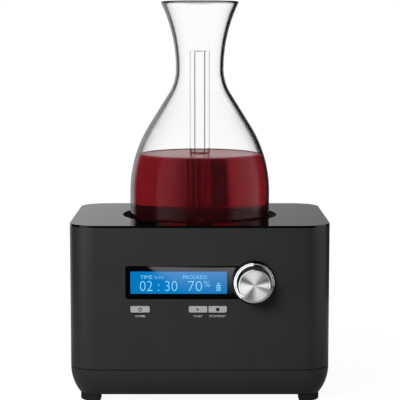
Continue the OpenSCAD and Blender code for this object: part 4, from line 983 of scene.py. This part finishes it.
def vent_cutter(name, radius, count, depth):
    """Level slots that fill a circle."""
    size = base_sizes()
    slots = []
    for i in range(count):
        slot = slab(f"{name}_{i}", 2.2 * radius, size.vent_height, 0, depth)
        slots.append(settle(slot, (0, (i - (count - 1) / 2) * size.vent_step, 0)))
    return carve(joined(name, slots), disc("circle", radius, depth), how="INTERSECT")


def key_slots():
    """The places of the power key and of the pair: name, middle across, and width."""
    front = front_sizes()
    return (("power", SCREEN[0].x + front.key_width / 2, front.key_width),
            ("pair", SCREEN[1].x - front.pair_width / 2, front.pair_width))


class DECANTER_OT_housing(bpy.types.Operator):
    """Charcoal wall of the base with the pocket for the window, the key slots and the rear vents"""
    bl_idname = "decanter.housing"
    bl_label = "Housing"

    def execute(self, context):
        size = base_sizes()
        front = front_sizes()
        width = HOUSING[1].x - HOUSING[0].x
        depth = HOUSING[1].y - HOUSING[0].y
        low = SEAM + size.seam_gap
        height = HOUSING[1].z - low
        shell = ring_wall("housing", width, depth, size.corner, size.wall, height)
        outside = (Vector((width, depth)) / 2 - Vector((1, 1)) * size.wall / 2)
        for level in (0, height):
            round_off(shell, size.edge,
                      lambda edge: at_height(edge, level) and self.is_outer(edge, outside, size))
        settle(shell, (0, BODY_Y, low))
        over = size.wall
        through = size.wall + 2 * over
        pocket = panel_outline("pocket", size.fit, over + front.panel_depth)
        on_front(pocket, KNOB_MIDDLE.x, KNOB_MIDDLE.z, front.panel_depth)
        window = slab("window", SCREEN_SIZE.x + 2 * size.fit, SCREEN_SIZE.z + 2 * size.fit, 0, through)
        on_front(window, SCREEN_MIDDLE.x, SCREEN_MIDDLE.z, 2 * over)
        shaft_hole = disc("shaft_hole", front.bushing, through, 48)
        on_front(shaft_hole, KNOB_MIDDLE.x, KNOB_MIDDLE.z, 2 * over)
        slots = [slab(name, across + 2 * front.key_gap, front.key_height + 2 * front.key_gap,
                      front.key_corner + front.key_gap, through) for name, _, across in key_slots()]
        for slot, (_, x, _) in zip(slots, key_slots()):
            on_front(slot, x, front.key_level, 2 * over)
        vents = (on_rear(vent_cutter("fan_vent", size.fan_vent, 9, through), "fan_frame", 2 * over),
                 on_rear(vent_cutter("filter_vent", size.filter_vent, 5, through), "intake_filter", 2 * over),
                 on_rear(disc("inlet_hole", size.inlet, through, 48), "dc_jack", 2 * over))
        carve(shell, pocket, window, shaft_hole, *slots, *vents)
        smooth(shell)
        seat(shell, "base", "charcoal_shell", "upper_housing")
        return {"FINISHED"}

    @staticmethod
    def is_outer(edge, outside, size):
        """Whether an edge of the ring lies on its outer outline."""
        inner = Vector((outside.x - size.corner, outside.y - size.corner)) + Vector((1, 1)) * size.wall / 2
        for vert in edge.verts:
            past = Vector((max(abs(vert.co.x) - inner.x, 0), max(abs(vert.co.y) - inner.y, 0)))
            if past.length < size.corner - size.wall / 2:
                return False
        return True


class DECANTER_OT_pan(bpy.types.Operator):
    """Lower tray below the parting line, its sides curving under"""
    bl_idname = "decanter.pan"
    bl_label = "Pan"

    def execute(self, context):
        size = base_sizes()
        width = PAN[1].x - PAN[0].x
        depth = PAN[1].y - PAN[0].y
        steps = 12
        drop = SEAM - PAN[0].z
        sweep = math.asin(drop / size.belly)
        pan = plate("pan", width, depth, size.corner, segments=16)
        with editing(pan):
            bpy.ops.mesh.flip_normals()
            for i in range(steps):
                here, there = (sweep * k / steps for k in (i, i + 1))
                bpy.ops.mesh.inset(thickness=size.belly * (math.cos(here) - math.cos(there)),
                                   depth=size.belly * (math.sin(there) - math.sin(here)))
        finish_with(pan, "SOLIDIFY", thickness=size.wall, offset=-1)
        set_in = size.wall + size.fit
        root = drop / 3
        tongue = ring_wall("tongue", width - 2 * set_in, depth - 2 * set_in, size.corner - set_in,
                           size.tongue, PAN[1].z - SEAM + root)
        carve(pan, settle(tongue, (0, 0, -root)), how="UNION")
        settle(pan, (0, BODY_Y, SEAM))
        smooth(pan, 30)
        seat(pan, "base", "charcoal_shell", "bottom_pan")
        return {"FINISHED"}


class DECANTER_OT_deck(bpy.types.Operator):
    """Glossy plate on top with the round hole for the vessel"""
    bl_idname = "decanter.deck"
    bl_label = "Deck"

    def execute(self, context):
        size = base_sizes()
        thick = DECK[1].z - HOUSING[1].z
        deck = slab("deck", DECK[1].x - DECK[0].x, DECK[1].y - DECK[0].y, size.corner, thick, segments=16)
        carve(deck, settle(disc("hole", size.well, 3 * thick, 128), (0, 0, -thick)))
        round_off(deck, size.edge, lambda edge: at_height(edge, thick))
        settle(deck, (0, BODY_Y, HOUSING[1].z))
        smooth(deck)
        seat(deck, "base", "gloss_black", "top_deck")
        return {"FINISHED"}


class DECANTER_OT_well(bpy.types.Operator):
    """Cup under the deck and the ribbed mat that the vessel stands on"""
    bl_idname = "decanter.well"
    bl_label = "Well"

    def execute(self, context):
        size = base_sizes()
        low = CUP[0].z
        floor = MAT[0].z
        rim = HOUSING[1].z
        seat_r = size.well - size.cup_taper
        bend = 2 * MM
        inside = arc((seat_r - bend, floor + bend), bend, 0, -math.pi / 2, 5)
        flange = size.well + size.cup_flange
        under = rim - size.cup_wall
        profile = [(size.cup_hole, low), (seat_r + size.cup_wall, low), (size.well + size.cup_wall, under),
                   (flange, under), (flange, rim), (size.well, rim)]
        profile += inside + [(size.cup_hole, floor), (size.cup_hole, low)]
        cup = on_axis(turned("cup", profile, 128))
        smooth(cup)
        seat(cup, "base", "soft_black", "well_cup")
        mat = on_axis(turned("mat", self.mat_profile(size, floor), 128))
        smooth(mat)
        seat(mat, "base", "black_rubber", "well_mat")
        return {"FINISHED"}

    @staticmethod
    def mat_profile(size, floor):
        """A ring with round ribs on top, just clear of the vessel's foot."""
        outer = (MAT[1].x - MAT[0].x) / 2
        top = MAT[1].z - 0.1 * MM
        groove = 0.7 * MM
        count = 8
        step = (outer - size.mat_hole) / count
        profile = [(size.mat_hole, floor), (outer, floor), (outer, top - groove)]
        for i in range(count):
            middle = outer - (i + 0.5) * step
            profile += [(middle + step / 2 * math.cos(a), top - groove + groove * math.sin(a))
                        for a in (math.pi * k / 6 for k in range(1, 6))]
            profile.append((middle - step / 2, top - groove))
        return profile + [(size.mat_hole, floor)]


class DECANTER_OT_feet(bpy.types.Operator):
    """Four corner pads under the pan, with their screw recesses"""
    bl_idname = "decanter.feet"
    bl_label = "Feet"

    def execute(self, context):
        size = base_sizes()
        high = FEET[1].z
        foot = plate("foot", size.foot, size.foot, size.foot_corner, lambda co: co.x < 0 or co.y < 0)
        outer = min(size.corner - (HOUSING[1].x - FEET[1].x), 0.98 * (size.foot - size.foot_corner))
        with editing(foot):
            choose(foot, "verts", lambda vert: vert.co.x + vert.co.y > 0.99 * size.foot)
            bpy.ops.mesh.bevel(offset=outer, segments=16, affect="VERTICES")
        thicken(foot, high)
        round_off(foot, size.foot_edge, lambda edge: at_height(edge, 0))
        recess = disc("recess", size.foot_recess, 2 * size.foot_recess_depth, 40)
        carve(foot, settle(recess, (0, 0, -size.foot_recess_depth)))
        feet = [foot] + [copied(foot, f"foot_{quarter}") for quarter in (1, 2, 3)]
        reach = Vector((FEET[1].x, (FEET[1].y - FEET[0].y) / 2)) - Vector((size.foot, size.foot)) / 2
        for quarter, (sx, sy) in enumerate(((1, 1), (-1, 1), (-1, -1), (1, -1))):
            settle(feet[quarter], (sx * reach.x, AXIS.y + sy * reach.y, 0), (0, 0, quarter * math.pi / 2))
        pads = joined("feet", feet)
        smooth(pads)
        seat(pads, "base", "black_rubber", "rubber_feet")
        return {"FINISHED"}


# Vessel

def wall_path(size, depth):
    """The vessel's side from its lip down to its wall, at a depth in from its outside."""
    height = VESSEL[1].z - VESSEL[0].z
    flare_in = size.rim - size.neck
    flare = (size.neck_drop ** 2 + flare_in ** 2) / (2 * flare_in)
    flare_angle = math.asin(size.neck_drop / flare)
    neck_z = height - size.glass / 2 * (1 + math.sin(flare_angle)) - size.neck_drop
    cone_in = size.radius - size.neck - (size.shoulder + size.throat) * (1 - math.cos(size.slope))
    cone = cone_in / math.tan(size.slope)
    shoulder_z = neck_z - cone - (size.throat + size.shoulder) * math.sin(size.slope)
    lip = (size.neck + flare - (flare + size.glass / 2) * math.cos(flare_angle),
           neck_z + (flare + size.glass / 2) * math.sin(flare_angle))
    path = arc((size.neck + flare, neck_z), flare + depth, math.pi - flare_angle, math.pi, 22)
    path += arc((size.neck + size.throat, neck_z), size.throat + depth, math.pi, math.pi + size.slope, 12)[1:]
    path += arc((size.radius - size.shoulder, shoulder_z), size.shoulder - depth, size.slope, 0, 20)
    return path, arc(lip, size.glass / 2, math.pi - flare_angle, -flare_angle, 8)


def heel_path(size, depth, low):
    """The curve from the vessel's wall into its foot, at a depth in from its outside."""
    return arc((size.radius - size.heel, low + size.heel - depth), size.heel - depth, 0, -math.pi / 2, 9)


class DECANTER_OT_vessel(bpy.types.Operator):
    """Glass vessel and the tube in its middle"""
    bl_idname = "decanter.vessel"
    bl_label = "Vessel"

    def execute(self, context):
        size = vessel_sizes()
        outside, _ = wall_path(size, 0)
        inside, lip = wall_path(size, size.glass)
        profile = outside + heel_path(size, 0, 0) + [(size.tube, 0), (size.tube, size.floor)]
        profile += heel_path(size, size.glass, size.floor)[::-1] + inside[::-1] + lip[1:]
        self.blown("vessel", profile, "clear_glass", "decanter_glass")
        outer = size.tube - size.tube_gap
        round_r = 1.2 * MM
        high = size.tube_height - round_r
        end = arc((outer - round_r, high), round_r, 0, math.pi / 2, 5)
        end += arc((size.bore + round_r, high), round_r, math.pi / 2, math.pi, 5)
        profile = [(size.bore + size.lead_in, 0), (outer - size.lead_in, 0), (outer, size.lead_in)] + end
        profile += [(size.bore, size.lead_in), (size.bore + size.lead_in, 0)]
        self.blown("tube", profile, "tube_glass", "air_tube")
        return {"FINISHED"}

    @staticmethod
    def blown(name, profile, glass, node):
        """A glass piece on the vessel's axis."""
        piece = on_axis(turned(name, profile, 288), VESSEL[0].z)
        smooth(piece, 40)
        seat(piece, "decanter", "clear_glass", node, look=glass)


class DECANTER_OT_wine(bpy.types.Operator):
    """Wine in the vessel, round the tube"""
    bl_idname = "decanter.wine"
    bl_label = "Wine"

    def execute(self, context):
        size = vessel_sizes()
        wall, _ = wall_path(size, size.glass - size.contact)
        below = [point for point in wall if point[1] < size.level]
        above = wall[len(wall) - len(below) - 1]
        part = (size.level - below[0][1]) / (above[1] - below[0][1])
        shore = below[0][0] + part * (above[0] - below[0][0])
        inner = size.tube - size.contact
        creeps = ((inner, 0, 1), (inner, 0.7, 0.35), (inner, 2.2, 0),
                  (shore, -2.4, 0), (shore, -0.8, 0.35), (shore, 0, 1))
        surface = [(start + run * MM, size.level + size.creep * rise) for start, run, rise in creeps]
        profile = surface + below + heel_path(size, size.glass - size.contact, size.floor - size.contact)
        profile += [(inner, size.floor - size.contact), surface[0]]
        wine = on_axis(turned("wine", profile, 144), VESSEL[0].z)
        smooth(wine, 40)
        seat(wine, "decanter", "clear_glass", look="red_wine")
        return {"FINISHED"}


# Front

class DECANTER_OT_display(bpy.types.Operator):
    """Black window, lit screen and its readout"""
    bl_idname = "decanter.display"
    bl_label = "Display"

    def execute(self, context):
        front = front_sizes()
        panel = panel_outline("window_panel", 0, front.panel_depth)
        round_off(panel, front.panel_edge, lambda edge: at_height(edge, front.panel_depth), 2)
        middle = SCREEN_MIDDLE
        wide, tall = SCREEN_SIZE.x, SCREEN_SIZE.z
        opening = slab("opening", wide, tall, front.screen_corner, 3 * front.panel_depth, segments=5)
        settle(opening, (middle.x - KNOB_MIDDLE.x, middle.z - KNOB_MIDDLE.z, -front.panel_depth))
        hole = settle(disc("hole", front.bushing, 3 * front.panel_depth, 48), (0, 0, -front.panel_depth))
        carve(panel, opening, hole)
        on_front(panel, KNOB_MIDDLE.x, KNOB_MIDDLE.z, front.panel_depth)
        smooth(panel)
        seat(panel, "base", "gloss_black", "display_panel")
        deep = SCREEN[1].y - FRONT - front.screen_set_in
        screen = slab("screen", wide - 2 * HAIR, tall - 2 * HAIR, front.screen_corner, deep, segments=5)
        round_off(screen, front.screen_set_in, lambda edge: at_height(edge, deep), 2)
        on_front(screen, middle.x, middle.z, front.screen_set_in + deep)
        smooth(screen)
        seat(screen, "base", "screen", "lcd_glass")
        self.readout(FRONT + front.screen_set_in)
        return {"FINISHED"}

    @staticmethod
    def readout(face):
        """Time and progress, as such a screen shows them, and a level symbol, placed in millimetres."""
        words = (("readout_time", "02 : 30", 0.018, (-54.0, 104.1), (-20.3, 113.3)),
                 ("readout_time_name", "TIME h/m", 0.012, (-53.7, 115.2), (-33.0, 118.5)),
                 ("readout_progress_name", "PROGRESS", 0.012, (-15.1, 115.2), (6.7, 118.5)),
                 ("readout_progress", "70", 0.018, (-10.5, 104.1), (2.1, 113.3)),
                 ("readout_percent", "%", 0.012, (3.5, 108.2), (9.3, 113.3)))
        for name, text, thin, low, high in words:
            piece = lettering(name, text, [MM * v for v in low], [MM * v for v in high], face, thin)
            seat(piece, "base", "screen", look="readout")
        bars = []
        for i in range(4):
            wide = (4.2 if i < 3 else 2.2) * MM
            bar = plate(f"bar_{i}", wide, 0.95 * MM, 0.25 * MM, segments=3)
            bars.append(mark(bar, 16.9 * MM, (105.0 + 2.0 * i) * MM, face))
        seat(joined("readout_level", bars), "base", "screen", look="readout")


# Points of one tool groove from its outer end inwards: the leans of the facets that each has yet to climb.
LEANS = ((0.4, 1, 1.6), (0.4, 1), (0.4,), ())


class DECANTER_OT_knob(bpy.types.Operator):
    """Turned metal knob and the black ring round it"""
    bl_idname = "decanter.knob"
    bl_label = "Knob"

    def execute(self, context):
        front = front_sizes()
        radius = (KNOB[1].x - KNOB[0].x) / 2
        base = FRONT - KNOB[1].y
        proud = FRONT - KNOB[0].y
        flank = radius - front.knob_step
        brow = front.knob_face + front.knob_bevel
        ledge = base + front.knob_skirt
        roof = proud - front.knob_wall
        shaft_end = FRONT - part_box("encoder_shaft")[0].y + HAIR
        hub_low = ledge + 1.5 * MM
        round_r, bevel, fillet = 0.8 * MM, 0.4 * MM, 0.3 * MM
        profile = [(flank - front.knob_wall / 2, base), (radius - bevel, base), (radius, base + bevel)]
        profile += arc((radius - round_r, ledge - round_r), round_r, 0, math.pi / 2, 6)
        profile += arc((flank + fillet, ledge + fillet), fillet, 1.5 * math.pi, math.pi, 4)
        profile += [(brow, proud - front.knob_bevel)]
        profile += arc((front.knob_face, proud - front.knob_bevel), front.knob_bevel, 0.2, math.pi / 2, 5)
        profile += [(front.knob_face - bevel, proud)] + self.turned_face(front, proud - HAIR)
        hub = front.knob_hub
        profile += [(0, shaft_end), (front.shaft, shaft_end), (front.shaft, hub_low), (hub, hub_low),
                    (hub, roof), (brow - front.knob_wall, roof), profile[0]]
        knob = on_front(turned("knob", profile, 128), KNOB_MIDDLE.x, KNOB_MIDDLE.z)
        smooth(knob, 30)
        seat(knob, "knob", "knob_metal", "control_knob")
        knob_light().objects.link(knob)
        outer = BEZEL_RADIUS
        high = FRONT - BEZEL[0].y
        crown = front.bezel / 2
        rim = arc((outer - crown, high - crown), crown, 0, math.pi, 8)
        bezel = turned("bezel", [(outer, 0)] + rim + [(outer - front.bezel, 0), (outer, 0)], 128)
        smooth(on_front(bezel, KNOB_MIDDLE.x, KNOB_MIDDLE.z))
        seat(bezel, "base", "gloss_black", "knob_bezel")
        return {"FINISHED"}

    @staticmethod
    def turned_face(front, high):
        """Fine tool grooves from the rim of the face to its middle, each leaning outwards."""
        count, border = 26, 0.6 * MM
        step = (front.knob_face - border) / count
        run = step * 0.3
        drops = [run * sum(front.knob_lean * part for part in parts) for parts in LEANS]
        points = []
        for i in range(count):
            outer = step * (count - i)
            points += [(outer - run * k, high - drop) for k, drop in enumerate(drops)]
        return points + [(0, high)]


class DECANTER_OT_keys(bpy.types.Operator):
    """Three silver keys with their signs, and the printed words below them"""
    bl_idname = "decanter.keys"
    bl_label = "Keys"

    def execute(self, context):
        front = front_sizes()
        half = (front.pair_width - front.pair_gap) / 2
        offset = (half + front.pair_gap) / 2
        (_, power_x, _), (_, pair_x, _) = key_slots()
        start_x, stop_x = pair_x - offset, pair_x + offset
        level = front.key_level
        self.key("power", power_x, front.key_width, None)
        self.key("start", start_x, half, lambda co: co.x < 0)
        self.key("stop", stop_x, half, lambda co: co.x > 0)
        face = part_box("power_button")[0].y
        self.sign("power_sign", self.power_sign(power_x, level, face), "power_key")
        triangle = plate("play", 2.1 * MM, 2.6 * MM, 0)
        with editing(triangle):
            choose(triangle, "verts", lambda vert: vert.co.x > 0)
            bpy.ops.mesh.merge(type="CENTER")
        self.sign("start_sign", [mark(triangle, start_x, level, face)], "start_key")
        square = plate("square", 3.0 * MM, 3.0 * MM, 0.2 * MM, segments=2)
        self.sign("stop_sign", [mark(square, stop_x, level, face)], "stop_key")
        below, above = level - 7.3 * MM, level - 5.4 * MM
        for name, text, x, wide in (("power", "POWER", power_x, 9), ("start", "START", start_x, 8),
                                    ("stop", "STOP/RESET", stop_x, 15)):
            reach = wide / 2 * MM
            words = lettering(f"{name}_label", text, (x - reach, below), (x + reach, above), FRONT)
            seat(words, "base", "white_plastic", look="label")
        return {"FINISHED"}

    @staticmethod
    def key(name, x, width, round_at):
        """A cap with a rounded face, and the rim and stem behind the wall."""
        front = front_sizes()
        wall = base_sizes().wall
        low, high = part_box(f"{name}_button")
        proud = FRONT - low.y
        behind = HAIR + front.key_rim_depth
        top = proud + wall + behind
        cap = slab(f"{name}_cap", width, front.key_height, front.key_corner, top, round_at)
        round_off(cap, front.key_edge, lambda edge: at_height(edge, top))
        rim = slab("rim", width + 2 * front.key_rim, front.key_height + 2 * front.key_rim, front.key_corner,
                   front.key_rim_depth)
        reach = high.y - FRONT - wall - behind
        stem = settle(disc("stem", front.key_stem, reach + MM, 40), (0, 0, -reach))
        carve(cap, rim, stem, how="UNION")
        on_front(cap, x, front.key_level, wall + behind)
        smooth(cap)
        seat(cap, f"{name}_key", "key_silver", f"{name}_button")

    @staticmethod
    def power_sign(x, z, face):
        """A broken ring and an upright bar."""
        outer, inner, ink = 1.9 * MM, 1.3 * MM, front_sizes().ink
        ring = turned("ring", [(inner, 0), (outer, 0), (outer, ink), (inner, ink), (inner, 0)], 40)
        gap = settle(slab("gap", 1.3 * MM, 2 * outer, 0, MM), (0, outer, -MM / 2))
        carve(ring, gap)
        bar = plate("bar", 0.6 * MM, 2.0 * MM, 0)
        return [settle(ring, (x, face, z), FACING_FRONT), mark(bar, x, z + 0.9 * MM, face)]

    @staticmethod
    def sign(name, parts, body):
        """The marks on a key, as one piece that moves with it."""
        seat(joined(name, parts), body, "soft_black", look="icon")


# Inner works

class DECANTER_OT_works(bpy.types.Operator):
    """Finishes of the pieces that keep their construction shape, by the record's slots"""
    bl_idname = "decanter.works"
    bl_label = "Works"

    def execute(self, context):
        for part in frame["record"]["subparts"]:
            node = frame["nodes"][part["node"]]
            node.data.materials.clear()
            node.data.materials.append(finish(part["material_slot"]))
        return {"FINISHED"}


class DECANTER_PT_pieces(bpy.types.Panel):
    """Lists the pieces in the order in which they are made"""
    bl_label = "Wine decanter"
    bl_space_type = "VIEW_3D"
    bl_region_type = "UI"
    bl_category = "Decanter"

    def draw(self, context):
        for operator in OPERATORS:
            self.layout.operator(operator.bl_idname)


GROUPS = {"decanter_base": BaseSizes, "decanter_vessel": VesselSizes, "decanter_front": FrontSizes,
          "decanter_stage": StageSizes, "decanter_colours": Colours}
OPERATORS = (DECANTER_OT_stage, DECANTER_OT_works, DECANTER_OT_housing, DECANTER_OT_pan, DECANTER_OT_deck,
             DECANTER_OT_well, DECANTER_OT_feet, DECANTER_OT_vessel, DECANTER_OT_wine, DECANTER_OT_display,
             DECANTER_OT_knob, DECANTER_OT_keys)
CLASSES = (*GROUPS.values(), *OPERATORS, DECANTER_PT_pieces)


def register():
    for item in CLASSES:
        bpy.utils.register_class(item)
    for name, group in GROUPS.items():
        setattr(bpy.types.Scene, name, PointerProperty(type=group))


def unregister():
    for name in GROUPS:
        delattr(bpy.types.Scene, name)
    for item in reversed(CLASSES):
        bpy.utils.unregister_class(item)


def main():
    register()
    for operator in OPERATORS:
        group, name = operator.bl_idname.split(".")
        getattr(getattr(bpy.ops, group), name)()


if __name__ == "__main__":
    main()
